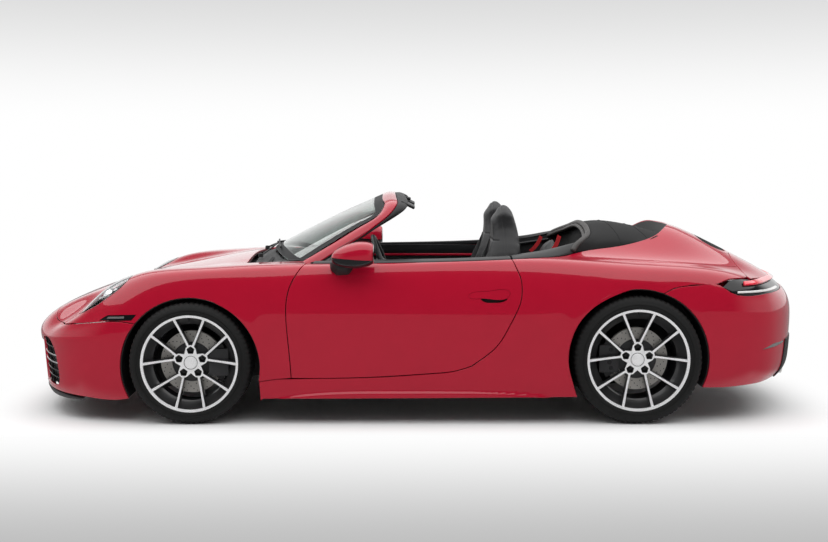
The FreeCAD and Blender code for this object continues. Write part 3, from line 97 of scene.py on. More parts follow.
# ---------------------------------------------------------------- body surface
FRONT_HUB, REAR_HUB = Vector((-1.241, -0.797, 0.336)), Vector((1.209, -0.763, 0.354))
ARCHES = ((-1.241, 0.310, 0.385), (1.209, 0.352, 0.391))          # x, z, radius

middle_top = curve((-2.32, 0.445), (-2.24, 0.510), (-2.17, 0.560), (-2.07, 0.613), (-1.9, 0.682), (-1.7, 0.746),
                   (-1.4, 0.815), (-1.2, 0.852), (-1.0, 0.885), (-0.85, 0.905), (-0.5, 0.93), (0.3, 0.97),
                   (0.8, 1.03), (1.1, 1.062), (1.35, 1.080), (1.44, 1.083), (1.53, 1.070), (1.62, 1.038),
                   (1.70, 1.000), (1.80, 0.948), (1.90, 0.897), (2.0, 0.846), (2.11, 0.787), (2.3, 0.67))
shoulder_top = curve((-2.32, 0.36), (-2.1, 0.485), (-1.98, 0.540), (-1.866, 0.612), (-1.75, 0.705), (-1.65, 0.775),
                     (-1.55, 0.815), (-1.42, 0.838), (-1.2, 0.853), (-0.92, 0.868), (-0.545, 0.876), (0.07, 0.890),
                     (0.51, 0.905), (0.75, 0.906), (1.02, 0.893), (1.3, 0.876), (1.58, 0.855), (1.79, 0.822),
                     (2.0, 0.755), (2.15, 0.68), (2.3, 0.59))
step_from = curve((-2.3, 0.34), (-1.2, 0.42), (-0.6, 0.45), (0.8, 0.40), (1.1, 0.30), (1.6, 0.24), (2.3, 0.2))
step_to = curve((-2.3, 0.68), (-1.2, 0.70), (-0.6, 0.74), (0.8, 0.78), (1.2, 0.775), (1.7, 0.74), (2.3, 0.70))
waist = curve((-2.2, 0.900), (-1.7, 0.915), (-1.241, 0.924), (-0.9, 0.909), (-0.5, 0.897), (0.0, 0.894),
              (0.45, 0.898), (0.8, 0.910), (1.209, 0.928), (1.6, 0.922), (2.2, 0.895))
lean_in = curve((-2.2, 0.05), (-1.24, 0.055), (-0.6, 0.052), (0.5, 0.058), (1.2, 0.060), (2.2, 0.07))
tuck = curve((-2.2, 0.04), (-1.24, 0.010), (-0.6, 0.002), (0.5, 0.002), (1.2, 0.012), (2.2, 0.06))
rounding = curve((-2.3, 0.028), (-1.9, 0.032), (-1.5, 0.036), (-0.9, 0.030), (-0.3, 0.022), (0.4, 0.022),
                 (0.9, 0.034), (1.3, 0.046), (1.8, 0.036), (2.3, 0.026))
nose_plan = curve((-0.4, 0.055), (-0.2, 0.013), (0, 0), (0.2, 0.013), (0.4, 0.055), (0.61, 0.150), (0.725, 0.245),
                  (0.80, 0.350), (0.85, 0.462), (0.885, 0.60), (0.91, 0.80), (0.93, 1.05))
nose_side = curve((0.05, 0.10), (0.12, 0.05), (0.20, 0.028), (0.30, 0.017), (0.40, 0.008), (0.47, 0.0),
                  (0.52, 0.022), (0.58, 0.075), (0.70, 0.22))
tail_plan = curve((-0.4, 0.058), (-0.2, 0.014), (0, 0), (0.2, 0.014), (0.4, 0.058), (0.5, 0.093), (0.6, 0.141),
                  (0.7, 0.210), (0.78, 0.292), (0.84, 0.40), (0.88, 0.52), (0.905, 0.68), (0.925, 0.95))
tail_side = curve((0.10, 0.20), (0.19, 0.09), (0.25, 0.035), (0.33, 0.012), (0.453, 0.003), (0.55, 0.0),
                  (0.63, 0.008), (0.69, 0.033), (0.74, 0.075), (0.80, 0.15), (0.95, 0.42))
underside = curve((-2.3, 0.06), (-1.6, 0.04), (0, 0.04), (1.6, 0.09), (2.0, 0.12), (2.3, 0.15))
WAIST_Z = 0.56
NOSE_X, TAIL_X = -2.258, 2.240


def body_value(p):
    """Negative inside the closed body, positive outside, about the distance to it in metres."""
    x, y, z = p[..., 0], np.abs(p[..., 1]), p[..., 2]
    step = ease((y - step_from(x)) / (step_to(x) - step_from(x)))
    top = middle_top(x) + (shoulder_top(x) - middle_top(x)) * step - 0.012 * (y / 0.45) ** 2 * (1 - step)
    over = (z - WAIST_Z) / 0.30
    side = waist(x) - np.where(over > 0, lean_in(x) * over ** 2, tuck(x) * over ** 2)
    for wheel_x, wheel_z, radius in ARCHES:
        away = np.hypot(x - wheel_x, z - wheel_z) - radius
        side = side + 0.007 * bump(away / 0.055) * ease((z - 0.1) / 0.2)
    blade = 0.190 - 0.035 * (x / 0.75) ** 4
    side = side + 0.012 * ease((blade - z) / 0.026) * ease((0.86 - np.abs(x)) / 0.26)
    front = nose_plan(y) + nose_side(z) + NOSE_X - x
    rear = x - TAIL_X + tail_plan(y) + tail_side(z)
    front_slope = np.hypot(1, (nose_plan(y + 1e-3) - nose_plan(y - 1e-3)) / 2e-3)
    rear_slope = np.hypot(1, (tail_plan(y + 1e-3) - tail_plan(y - 1e-3)) / 2e-3)
    k = rounding(x)
    parts = np.stack([z - top, y - side, front / front_slope, rear / rear_slope, underside(x) - z])
    return k * np.log(np.exp(np.clip(parts / k, -60, 60)).sum(0))


def body_slope(p):
    """How fast the body's value rises along x, y and z."""
    h = 2e-4
    return np.stack([(body_value(p + step) - body_value(p - step)) / (2 * h) for step in np.eye(3) * h], -1)


def settle(p, along=None):
    """Moves points onto the body's surface, straight to it or along one direction."""
    p = np.array(p, float)
    for _ in range(14):
        slope = body_slope(p)
        way = slope if along is None else np.broadcast_to(along, p.shape)
        rate = (slope * way).sum(-1)
        rate = np.where(np.abs(rate) < 0.05, np.copysign(0.05, rate), rate)
        move = np.clip(body_value(p) / rate, -0.12, 0.12)
        p -= move[..., None] * way
    return p


def face_way(p):
    """The body's own unit normals."""
    slope = body_slope(np.asarray(p, float))
    return slope / np.linalg.norm(slope, axis=-1, keepdims=True)


def cast(inner, outer):
    """The points where lines from inside the body to outside it leave its surface."""
    inner, outer = np.array(inner, float), np.array(outer, float)
    for _ in range(32):
        middle = (inner + outer) / 2
        inside = (body_value(middle) < 0)[..., None]
        inner, outer = np.where(inside, middle, inner), np.where(inside, outer, middle)
    return (inner + outer) / 2


def on_side(*points):
    """(x, z) points, on the left side."""
    return cast([(x, -0.2, z) for x, z in points], [(x, -1.0, z) for x, z in points])


def on_top(*points):
    """(x, y) points, on the top."""
    return cast([(x, y, 0.5) for x, y in points], [(x, y, 1.3) for x, y in points])


def on_nose(*points):
    """(y, z) points, on the front end."""
    return cast([(-1.6, y, z) for y, z in points], [(-2.4, y, z) for y, z in points])


def on_tail(*points):
    """(y, z) points, on the rear end."""
    return cast([(1.6, y, z) for y, z in points], [(2.4, y, z) for y, z in points])


def arc(centre_x, centre_z, radius, start, end, steps=14):
    """Part of a wheel arch on the left side, between two angles in degrees."""
    turns = np.radians(np.linspace(start, end, steps))
    return on_side(*zip(centre_x + radius * np.cos(turns), centre_z + radius * np.sin(turns)))


# ---------------------------------------------------------------- making pieces
def run_length(points):
    """How far along a line each of its points lies."""
    return np.concatenate([[0], np.cumsum(np.linalg.norm(np.diff(points, axis=0), axis=1))])


def spaced(points, count):
    """count + 1 even points along a smooth line through the given ones."""
    points = np.array(points, float)
    if len(points) > 2:
        run = run_length(points)
        fine = np.linspace(0, run[-1], 24 * len(points))
        points = np.stack([curve(*zip(run, points[:, k]))(fine) for k in range(3)], -1)
    run = run_length(points)
    want = np.linspace(0, run[-1], count + 1)
    return np.stack([np.interp(want, run, points[:, k]) for k in range(3)], -1)


def patch(low, high, near, far, cell):
    """A grid of points between four border lines; low and high are lists of matching stretches."""
    counts = [max(2, round(max(run_length(spaced(a, 8))[-1], run_length(spaced(b, 8))[-1]) / cell))
              for a, b in zip(low, high)]
    rows = max(2, round(max(run_length(spaced(near, 8))[-1], run_length(spaced(far, 8))[-1]) / cell))

    def whole(stretches):
        parts = [spaced(line, count) for line, count in zip(stretches, counts)]
        return np.concatenate([parts[0]] + [part[1:] for part in parts[1:]])

    bottom, top = whole(low), whole(high)
    start, end = spaced(near, rows), spaced(far, rows)
    u = np.linspace(0, 1, len(bottom))[:, None, None]
    v = np.linspace(0, 1, len(start))[None, :, None]
    corners = ((1 - u) * (1 - v) * bottom[0] + u * (1 - v) * bottom[-1]
               + (1 - u) * v * top[0] + u * v * top[-1])
    return (1 - v) * bottom[:, None] + v * top[:, None] + (1 - u) * start[None] + u * end[None] - corners


def narrowed(grid, gap, centre):
    """The grid with its border pulled in by half the gap, except along the centre plane."""
    out = grid.copy()
    for axis in (0, 1):
        for edge, inner in ((0, 1), (-1, -2)):
            line, next_line = np.take(grid, edge, axis), np.take(grid, inner, axis)
            if centre and np.abs(line[:, 1]).max() < 1e-4:
                continue
            along = np.gradient(line, axis=0)
            along /= np.linalg.norm(along, axis=1, keepdims=True)
            inward = next_line - line
            inward -= (inward * along).sum(1, keepdims=True) * along
            inward /= np.linalg.norm(inward, axis=1, keepdims=True)
            place = (edge, slice(None)) if axis == 0 else (slice(None), edge)
            out[place] += inward * gap / 2
    if centre:
        flat = np.abs(grid[..., 1]) < 1e-4
        out[flat, 1] = 0
    return out


def grid_mesh(grid):
    """A bmesh grid laid over the points."""
    across, along = grid.shape[:2]
    bm = bmesh.new()
    bmesh.ops.create_grid(bm, x_segments=across - 1, y_segments=along - 1, size=0.5)
    for vert in bm.verts:
        i, j = round((vert.co.x + 0.5) * (across - 1)), round((vert.co.y + 0.5) * (along - 1))
        vert.co = grid[i, j]
    return bm


def thickened(bm, depth, roll, on_body=True):
    """Gives an open sheet a back, behind its front, and rolled edges."""
    bm.normal_update()
    front = bm.faces[:]
    made = bmesh.ops.extrude_face_region(bm, geom=front, use_keep_orig=True)["geom"]
    moved = [g for g in made if isinstance(g, bmesh.types.BMVert)]
    ways = face_way(np.array([vert.co for vert in moved])) if on_body else [vert.normal.copy() for vert in moved]
    for vert, way in zip(moved, ways):
        vert.co -= Vector(way) * depth
    back = set(g for g in made if isinstance(g, bmesh.types.BMFace))
    front = [face for face in front if face.is_valid]
    bmesh.ops.recalc_face_normals(bm, faces=bm.faces)
    skin = set(front)
    rim = [edge for face in front for edge in face.edges
           if any(other not in skin and other not in back for other in edge.link_faces)]
    if roll:
        bmesh.ops.bevel(bm, geom=list(set(rim)), offset=roll, segments=2, profile=0.5, affect="EDGES", material=-1,
                        clamp_overlap=False)


def shaded(mesh, on_body=True):
    """Smooth shading; faces on the body take the body's own normals, so highlights run across seams."""
    mesh.polygons.foreach_set("use_smooth", np.ones(len(mesh.polygons), bool))
    if not on_body:
        mesh.set_sharp_from_angle(angle=0.7)
        return mesh
    points = values_of(mesh.vertices, "co")
    ways = face_way(points)
    on_skin = np.abs(body_value(points)) < 4e-4
    corner = values_of(mesh.loops, "vertex_index", 1)
    faces = values_of(mesh.polygons, "normal")
    sizes = values_of(mesh.polygons, "loop_total", 1)
    owner = np.repeat(np.arange(len(sizes)), sizes)
    good = on_skin[corner] & ((faces[owner] * ways[corner]).sum(1) > 0.6)
    whole_face = np.bincount(owner, good) == sizes
    normals = np.where((good & whole_face[owner])[:, None], ways[corner], faces[owner] * 0)
    mesh.normals_split_custom_set(normals)
    return mesh


def piece(name, mesh, materials, body="body", stands_for=()):
    """An object that rides on a body; mesh is a bmesh or a mesh."""
    if isinstance(mesh, bmesh.types.BMesh):
        mesh = shaded(to_mesh(mesh, name), False)
    for material in materials if isinstance(materials, (list, tuple)) else [materials]:
        mesh.materials.append(material)
    made = in_scene(name, mesh)
    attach(made, body)
    if stands_for:
        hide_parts(*stands_for)
    return made


def evaluated(helper):
    """A new mesh of an object with its modifiers applied."""
    return bpy.data.meshes.new_from_object(helper.evaluated_get(bpy.context.evaluated_depsgraph_get()))


def combined(target, cutter, way="DIFFERENCE"):
    """A mesh: the target with the cutter's space taken out, or kept."""
    whole, tool = in_scene("helper", target), in_scene("helper", cutter)
    step = whole.modifiers.new("cut", "BOOLEAN")
    step.object, step.operation, step.solver = tool, way, "EXACT"
    result = evaluated(whole)
    for helper in (whole, tool):
        bpy.data.objects.remove(helper)
    return result


def values_of(items, label, width=3):
    """One named value of each vertex, face or corner, as rows."""
    flat = np.empty(len(items) * width, float if width == 3 else int)
    items.foreach_get(label, flat)
    return flat.reshape(-1, 3) if width == 3 else flat


def to_mesh(bm, name="part"):
    """A bmesh turned into a mesh; the bmesh is used up."""
    mesh = bpy.data.meshes.new(name)
    bm.to_mesh(mesh)
    bm.free()
    return mesh


def extruded(bm):
    """Gives a flat face a second side; returns the new side's vertices, still in the old place."""
    made = bmesh.ops.extrude_face_region(bm, geom=bm.faces[:], use_keep_orig=True)["geom"]
    return [g for g in made if isinstance(g, bmesh.types.BMVert)]


def prism(outline, way, back=0.12, front=0.12, grow=0.0, smooth=True):
    """A closed bar with the outline's section, along way; grow widens it."""
    outline = np.array(outline, float)
    way = np.array(way, float) / np.linalg.norm(way)
    if smooth:
        outline = spaced(np.concatenate([outline, outline[:1]]), 5 * len(outline))[:-1]
    outline = outline - (outline @ way)[:, None] * way + (outline.mean(0) @ way) * way
    if grow:
        along = np.roll(outline, -1, 0) - np.roll(outline, 1, 0)
        across = np.cross(along, way)
        across /= np.linalg.norm(across, axis=1, keepdims=True)
        if ((outline - outline.mean(0)) * across).sum() < 0:
            across = -across
        outline = outline + across * grow
    bm = bmesh.new()
    bm.faces.new([bm.verts.new(point - way * back) for point in outline])
    bmesh.ops.translate(bm, vec=Vector(way * (back + front)), verts=extruded(bm))
    bmesh.ops.recalc_face_normals(bm, faces=bm.faces)
    return to_mesh(bm)


def panel(low, high, near=None, far=None, cell=0.014, depth=0.018, gap=0.0044, roll=0.0018, centre=False, shape=None,
          inset=0.0, out=(0, -0.4, 1)):
    """A skin between four seams, as a mesh: on the body's surface, or where shape moves its points.
    A shaped skin's front faces out, and its ends are straight where they aren't given."""
    if near is None:
        near, far = np.linspace(low[0], high[0], 4), np.linspace(low[-1], high[-1], 4)
    if not isinstance(low, list):
        low, high = [low], [high]
    grid = patch(low, high, near, far, cell)
    grid = shape(grid) if shape else settle(grid)
    if inset:
        grid = grid - face_way(grid) * inset
    bm = grid_mesh(narrowed(grid, gap, centre))
    if centre:
        bmesh.ops.mirror(bm, geom=bm.verts[:] + bm.edges[:] + bm.faces[:], axis="Y", merge_dist=1e-4)
        bmesh.ops.recalc_face_normals(bm, faces=bm.faces)
    if shape is not None:
        bm.normal_update()
        outwards = sum(face.normal.dot(Vector(out)) * (face.calc_center_median().y < 0 or not centre)
                       for face in bm.faces)
        if outwards < 0:
            bmesh.ops.reverse_faces(bm, faces=bm.faces)
    thickened(bm, depth, roll, on_body=shape is None)
    return to_mesh(bm)


def both_sides(name, mesh, materials, body="body", stands_for=(), on_body=False):
    """The left piece and its mirror image; body and node names may hold a side's name."""
    for side in ("left", "right"):
        copy = mesh.copy()
        if side == "right":
            copy.transform(Matrix.Scale(-1, 4, (0, 1, 0)))
            copy.flip_normals()
        shaded(copy, on_body)
        piece(name + "_" + side, copy, materials, body.replace("SIDE", side),
              [node.replace("SIDE", side) for node in stands_for])


def inlay(outline, way, across, depth=0.004, inset=0.0, grow=0.0, smooth=True):
    """A piece of the body's surface with the outline's shape, seen against way, and inset below the surface.
    Across is the first direction of the grid it is cut from."""
    outline = np.array(outline, float)
    ahead = np.array(way, float) / np.linalg.norm(way)
    across = np.array(across, float) - np.dot(across, ahead) * ahead
    across /= np.linalg.norm(across)
    reach = np.abs(outline - outline.mean(0)).max() * 1.9 + 0.02
    steps = np.linspace(-reach, reach, round(2 * reach / 0.010))
    flat = outline.mean(0) + steps[:, None, None] * across + steps[None, :, None] * np.cross(ahead, across)
    grid = cast(flat - ahead * 0.25, flat + ahead * 0.25)
    bm = grid_mesh(grid - face_way(grid) * inset)
    thickened(bm, depth, 0)
    return combined(to_mesh(bm), prism(outline, way, grow=grow, smooth=smooth), "INTERSECT")


def as_given(grid):
    """A panel shape that keeps the points where the seams put them."""
    return grid


def puffed(height, out):
    """A panel's shape and front where it stands proud in its middle."""
    def shape(grid):
        ways = np.cross(np.gradient(grid, axis=0), np.gradient(grid, axis=1))
        ways /= np.linalg.norm(ways, axis=-1, keepdims=True) + 1e-9
        if (ways @ np.array(out)).sum() < 0:
            ways = -ways
        share = np.sin(math.pi * np.linspace(0, 1, grid.shape[1]))[None, :, None]
        return grid + ways * share * height
    return {"shape": shape, "out": out}


def pipe(points, radius, sides=12):
    """A round bar along a smooth line, as a mesh."""
    data = bpy.data.curves.new("line", "CURVE")
    data.dimensions, data.bevel_depth, data.bevel_resolution, data.use_fill_caps = "3D", radius, sides // 4, True
    spline = data.splines.new("NURBS")
    spline.points.add(len(points) - 1)
    for knot, point in zip(spline.points, points):
        knot.co = (*point, 1)
    spline.use_endpoint_u, spline.order_u, spline.resolution_u = True, 3, 8
    helper = in_scene("line", data)
    bm = bmesh.new()
    bm.from_mesh(evaluated(helper))
    bpy.data.objects.remove(helper)
    bmesh.ops.remove_doubles(bm, verts=bm.verts, dist=1e-5)
    bmesh.ops.recalc_face_normals(bm, faces=bm.faces)
    return to_mesh(bm)


def set_at(bm, place, turn=None):
    """Turns a bmesh by a matrix, or about an axis by degrees, then moves it to its place."""
    if isinstance(turn, tuple):
        turn = Matrix.Rotation(math.radians(turn[1]), 3, turn[0])
    if turn:
        bmesh.ops.rotate(bm, verts=bm.verts, matrix=turn)
    bmesh.ops.translate(bm, verts=bm.verts, vec=place)
    return bm


def bevelled(bm, size, edges=None, segments=2):
    """Rounds a bmesh's edges, all of them where none are given."""
    bmesh.ops.bevel(bm, geom=edges or bm.edges[:], offset=size, segments=segments, profile=0.5, affect="EDGES",
                    material=-1)


def soft_block(size, place, round_by=0.012, segments=3, turn=None):
    """A box with rounded edges, as a bmesh."""
    bm = bmesh.new()
    bmesh.ops.create_cube(bm, size=1)
    bmesh.ops.scale(bm, verts=bm.verts, vec=size)
    if round_by:
        bevelled(bm, round_by, segments=segments)
    return set_at(bm, place, turn)


def lathe(profile, steps, material_index=0, closed=True):
    """A ring from (radius, height) points turned about Z."""
    bm = bmesh.new()
    verts = [bm.verts.new((radius, 0, height)) for radius, height in profile]
    ends = list(zip(verts, verts[1:])) + ([(verts[-1], verts[0])] if closed else [])
    edges = [bm.edges.new(pair) for pair in ends]
    bmesh.ops.spin(bm, geom=verts + edges, cent=(0, 0, 0), axis=(0, 0, 1), angle=2 * math.pi, steps=steps,
                   use_merge=True)
    bmesh.ops.remove_doubles(bm, verts=bm.verts, dist=1e-5)
    bmesh.ops.recalc_face_normals(bm, faces=bm.faces)
    for face in bm.faces:
        face.material_index = material_index
    return bm


def dropped(mesh, points, lift=0.0):
    """Points moved straight down, or up, onto a mesh's top."""
    tree = BVHTree.FromPolygons([vert.co[:] for vert in mesh.vertices], [face.vertices[:] for face in mesh.polygons])
    points = np.array(points, float)
    flat = points.reshape(-1, 3)
    for point in flat:
        hit = tree.ray_cast(Vector((point[0], point[1], 2)), Vector((0, 0, -1)))[0]
        point[2] = (hit.z if hit else point[2]) + lift
    return points


def joined(*parts):
    """One bmesh from several bmeshes or meshes."""
    whole = bmesh.new()
    for part in parts:
        mesh = to_mesh(part) if isinstance(part, bmesh.types.BMesh) else part
        whole.from_mesh(mesh)
    return whole


# ---------------------------------------------------------------- materials
def new_material(name, **sockets):
    """A material whose shader has these fixed values; returns it with its tree and shader."""
    material = bpy.data.materials.new(name)
    material.use_nodes = True
    tree = material.node_tree
    shader = tree.nodes["Principled BSDF"]
    for label, value in sockets.items():
        shader.inputs[label.replace("_", " ")].default_value = value
    return material, tree, shader


def shader_group(name, inputs, outputs):
    """An empty node group with named float or colour sockets."""
    group = bpy.data.node_groups.new(name, "ShaderNodeTree")
    for label, kind, value in inputs:
        socket = group.interface.new_socket(label, in_out="INPUT", socket_type=kind)
        socket.default_value = value
    for label, kind in outputs:
        group.interface.new_socket(label, in_out="OUTPUT", socket_type=kind)
    return group, group.nodes.new("NodeGroupInput"), group.nodes.new("NodeGroupOutput")


def node(tree, kind, *given, **values):
    """A shader node with its inputs linked or set in order, and its settings."""
    made = tree.nodes.new("ShaderNode" + kind)
    for label, value in values.items():
        setattr(made, label, value)
    for socket, value in zip(made.inputs, given):
        if isinstance(value, bpy.types.NodeSocket):
            tree.links.new(value, socket)
        elif value is not None:
            socket.default_value = value
    return made


def math_of(tree, way, *given):
    """The result of one sum on values or sockets."""
    return node(tree, "Math", *given, operation=way).outputs[0]


FLOAT, COLOUR = "NodeSocketFloat", "NodeSocketColor"


def fine_grain():
    """Small random grain: a slightly varied colour, roughness and height."""
    group, given, out = shader_group("fine_grain", [
        ("Base", COLOUR, (0.5, 0.5, 0.5, 1)), ("Scale", FLOAT, 400), ("Colour Change", FLOAT, 0.15),
        ("Rough", FLOAT, 0.5), ("Rough Change", FLOAT, 0.1)],
        [("Colour", COLOUR), ("Roughness", FLOAT), ("Height", FLOAT)])
    base, scale, colour_change, rough, rough_change = given.outputs[:5]
    place = node(group, "TexCoord").outputs["Object"]
    fine = node(group, "TexNoise", place, None, scale, 3).outputs["Fac"]
    broad = node(group, "TexNoise", place, None, 9, 4).outputs["Fac"]
    centred = math_of(group, "SUBTRACT", math_of(group, "ADD", fine, broad), 1.0)
    shade = math_of(group, "MULTIPLY_ADD", centred, colour_change, 1.0)
    tint = node(group, "VectorMath", base, operation="SCALE")
    group.links.new(shade, tint.inputs["Scale"])
    for value, label in ((tint.outputs[0], "Colour"), (fine, "Height"),
                         (math_of(group, "MULTIPLY_ADD", centred, rough_change, rough), "Roughness")):
        group.links.new(value, out.inputs[label])
    return group


GRAIN = fine_grain()


def grained(name, colour, rough, scale=400, change=0.15, rough_change=0.08, bump=0.0, distance=0.0005, **sockets):
    """A material whose colour, roughness and surface vary with the fine grain."""
    material, tree, shader = new_material(name, **sockets)
    grain = node(tree, "Group", node_tree=GRAIN)
    for socket, value in zip(grain.inputs, ((*colour, 1), scale, change, rough, rough_change)):
        socket.default_value = value
    tree.links.new(grain.outputs["Colour"], shader.inputs["Base Color"])
    tree.links.new(grain.outputs["Roughness"], shader.inputs["Roughness"])
    if bump:
        height = node(tree, "Bump", bump, distance)
        tree.links.new(grain.outputs["Height"], height.inputs["Height"])
        tree.links.new(height.outputs["Normal"], shader.inputs["Normal"])
    return material


red_paint = grained("red_paint", (0.41, 0.004, 0.024), 0.32, scale=1400, change=0.10, rough_change=0.05,
                    Coat_Weight=1.0, Coat_Roughness=0.015, Specular_IOR_Level=0.12)
red_under = grained("red_under", (0.30, 0.005, 0.014), 0.45, scale=300, change=0.2)
black_plastic = grained("black_plastic", (0.010, 0.010, 0.011), 0.55, scale=900, change=0.3, bump=0.25)
black_gloss = grained("black_gloss", (0.006, 0.006, 0.007), 0.08, scale=200, change=0.2, rough_change=0.02)
dark_fabric = grained("dark_fabric", (0.0055, 0.0055, 0.006), 0.9, scale=1500, change=0.5, bump=0.5)
leather = grained("leather", (0.010, 0.010, 0.0115), 0.48, scale=700, change=0.3, bump=0.35)
rubber = grained("rubber", (0.008, 0.008, 0.008), 0.66, scale=350, change=0.3, rough_change=0.12, bump=0.15,
                 Specular_IOR_Level=0.3)
inner_black = grained("inner_black", (0.02, 0.02, 0.021), 0.6, scale=120, change=0.5, bump=0.2)
# near-black cast parts; on the brake discs the same colour is painted shade for the drilled holes
cast_black_and_hole_shade = grained("cast_black_and_hole_shade", (0.03, 0.03, 0.032), 0.5, scale=260, change=0.4, bump=0.4)
alloy_bright = grained("alloy_bright", (0.94, 0.94, 0.95), 0.28, scale=800, change=0.04, rough_change=0.1,
                       Metallic=0.28)
alloy_dark = grained("alloy_dark", (0.02, 0.02, 0.021), 0.32, scale=300, change=0.3, Metallic=0.0,
                     Coat_Weight=0.5)
disc_steel = grained("disc_steel", (0.78, 0.75, 0.71), 0.50, scale=500, change=0.2, Metallic=1.0)
steel = grained("steel", (0.72, 0.71, 0.70), 0.18, scale=300, change=0.1, Metallic=1.0)
chrome = grained("chrome", (0.88, 0.88, 0.89), 0.06, scale=100, change=0.03, rough_change=0.03, Metallic=1.0)
lamp_glass = grained("lamp_glass", (0.95, 0.96, 0.97), 0.02, scale=50, change=0.02, rough_change=0.01,
                     Transmission_Weight=1.0, IOR=1.45)
screen_glass = grained("screen_glass", (0.86, 0.93, 0.90), 0.01, scale=20, change=0.01, rough_change=0.01,
                       Transmission_Weight=1.0, IOR=1.45)
lamp_red = grained("lamp_red", (0.80, 0.012, 0.040), 0.12, scale=100, change=0.1, Coat_Weight=1.0)
lamp_grey = grained("lamp_grey", (0.16, 0.15, 0.15), 0.15, scale=900, change=0.3, Coat_Weight=1.0)
mesh_black = grained("mesh_black", (0.010, 0.010, 0.011), 0.5, scale=260, change=0.9, bump=1.0, distance=0.004)
carpet = grained("carpet", (0.012, 0.012, 0.013), 0.95, scale=1100, change=0.7, bump=0.8, distance=0.0015)
belt_red = grained("belt_red", (0.50, 0.010, 0.016), 0.75, scale=1300, change=0.25, bump=0.4)
rim_leather = grained("rim_leather", (0.040, 0.036, 0.034), 0.5, scale=600, change=0.25, bump=0.3)
lamp_white = grained("lamp_white", (0.72, 0.71, 0.70), 0.12, scale=500, change=0.1, Coat_Weight=1.0)
belt_trim_black = grained("belt_trim_black", (0.016, 0.016, 0.017), 0.38, scale=900, change=0.2, bump=0.15)
screen_border = grained("screen_border", (0.006, 0.006, 0.007), 0.5, scale=1200, change=0.6, Specular_IOR_Level=0.2)


# ---------------------------------------------------------------- seams of the left side
front_arch = arc(*ARCHES[0], 141.2, -11.0)
bumper_arch = arc(*ARCHES[0], 207.0, 141.2, 8)
rear_arch = arc(*ARCHES[1], 211.5, 69.6)
tail_arch = arc(*ARCHES[1], 69.6, -23.5, 10)
door_front = np.concatenate([on_side((-0.687, 0.255), (-0.694, 0.355), (-0.709, 0.520), (-0.713, 0.657),
                                     (-0.699, 0.739), (-0.672, 0.800)), on_top((-0.637, -0.835), (-0.612, -0.775))])
door_rear = np.concatenate([on_side((0.30, 0.322), (0.355, 0.361), (0.430, 0.424), (0.510, 0.552), (0.544, 0.619),
                                    (0.568, 0.685), (0.573, 0.739), (0.567, 0.800)),
                            on_top((0.548, -0.845), (0.522, -0.79))])
door_low = on_side((-0.687, 0.255), (-0.531, 0.254), (-0.168, 0.264), (0.103, 0.282), (0.207, 0.294), (0.30, 0.322))
belt = on_top((-0.612, -0.775), (-0.369, -0.79), (0.07, -0.80), (0.40, -0.797), (0.522, -0.79))
fender_sill = np.concatenate([front_arch[-1:], on_side((-0.78, 0.247), (-0.687, 0.255))])
hood_corner = on_side((-1.975, 0.528))
bumper_seam = np.concatenate([front_arch[:1], on_side((-1.62, 0.563), (-1.76, 0.556), (-1.86, 0.545),
                                                      (-1.975, 0.528))])
hood_side = np.concatenate([hood_corner, on_top((-1.93, -0.59), (-1.85, -0.515), (-1.7, -0.52), (-1.5, -0.56),
                                                (-1.24, -0.60), (-0.957, -0.64))])
hood_front = np.concatenate([hood_corner, on_nose((-0.62, 0.527), (-0.52, 0.540)),
                             on_top((-2.085, -0.36), (-2.105, -0.2), (-2.112, 0))])
cowl_side = on_top((-0.957, -0.64), (-0.80, -0.652), (-0.625, -0.655))
cowl_end = on_top((-0.625, -0.655), (-0.612, -0.775))
sill_low = on_side((-0.858, 0.142), (-0.4, 0.142), (0.30, 0.146))
sill_low_rear = on_side((0.30, 0.146), (0.6, 0.148), (0.876, 0.150))
lid_seam = on_top((0.522, -0.79), (0.65, -0.767), (0.76, -0.728), (0.85, -0.675), (0.878, -0.655))
lid_side = on_top((0.878, -0.655), (0.932, -0.695), (0.99, -0.722), (1.14, -0.725), (1.364, -0.70),
                  (1.589, -0.655), (1.74, -0.60), (1.838, -0.535))
quarter_top = np.concatenate([lid_seam, lid_side[1:]])
tail_seam = on_top((1.838, -0.535), (1.822, -0.43), (1.84, -0.30), (1.872, -0.15), (1.885, 0))
tail_end = np.concatenate([on_side((1.846, 0.795)), on_top((1.845, -0.62)), tail_seam[:1]])
u_edge = on_top((0.878, -0.655), (0.95, -0.615), (1.022, -0.588), (1.144, -0.55), (1.23, -0.519), (1.30, -0.49),
                (1.377, -0.447), (1.432, -0.385), (1.475, -0.29), (1.50, -0.15), (1.508, 0))
quarter_front = on_side((-0.858, 0.142), (-0.863, 0.236))
sill_top = np.concatenate([front_arch[-1:], on_side((-0.78, 0.247), (-0.60, 0.2545), (-0.168, 0.264),
                                                    (0.103, 0.282), (0.207, 0.294), (0.30, 0.322))])
lamp_tip = on_side((1.643, 0.768))
rear_seam = np.concatenate([rear_arch[-1:], on_side((1.384, 0.741), (1.476, 0.760), (1.56, 0.767)), lamp_tip])
lamp_low = np.concatenate([lamp_tip, on_side((1.672, 0.748), (1.723, 0.719), (1.779, 0.704), (1.90, 0.704)),
                           on_tail((-0.62, 0.707), (-0.4, 0.71), (-0.2, 0.71), (0, 0.71))])
lamp_high = np.concatenate([lamp_tip, on_side((1.72, 0.785), (1.80, 0.792)), on_tail((-0.70, 0.780), (-0.6, 0.772),
                            (-0.45, 0.772), (-0.25, 0.775), (0, 0.777))])
bumper_low = np.concatenate([on_nose((0, 0.150), (-0.2, 0.150), (-0.4, 0.148), (-0.6, 0.146)),
                             on_side((-1.95, 0.140), (-1.8, 0.130), (-1.65, 0.124), (-1.584, 0.135))])
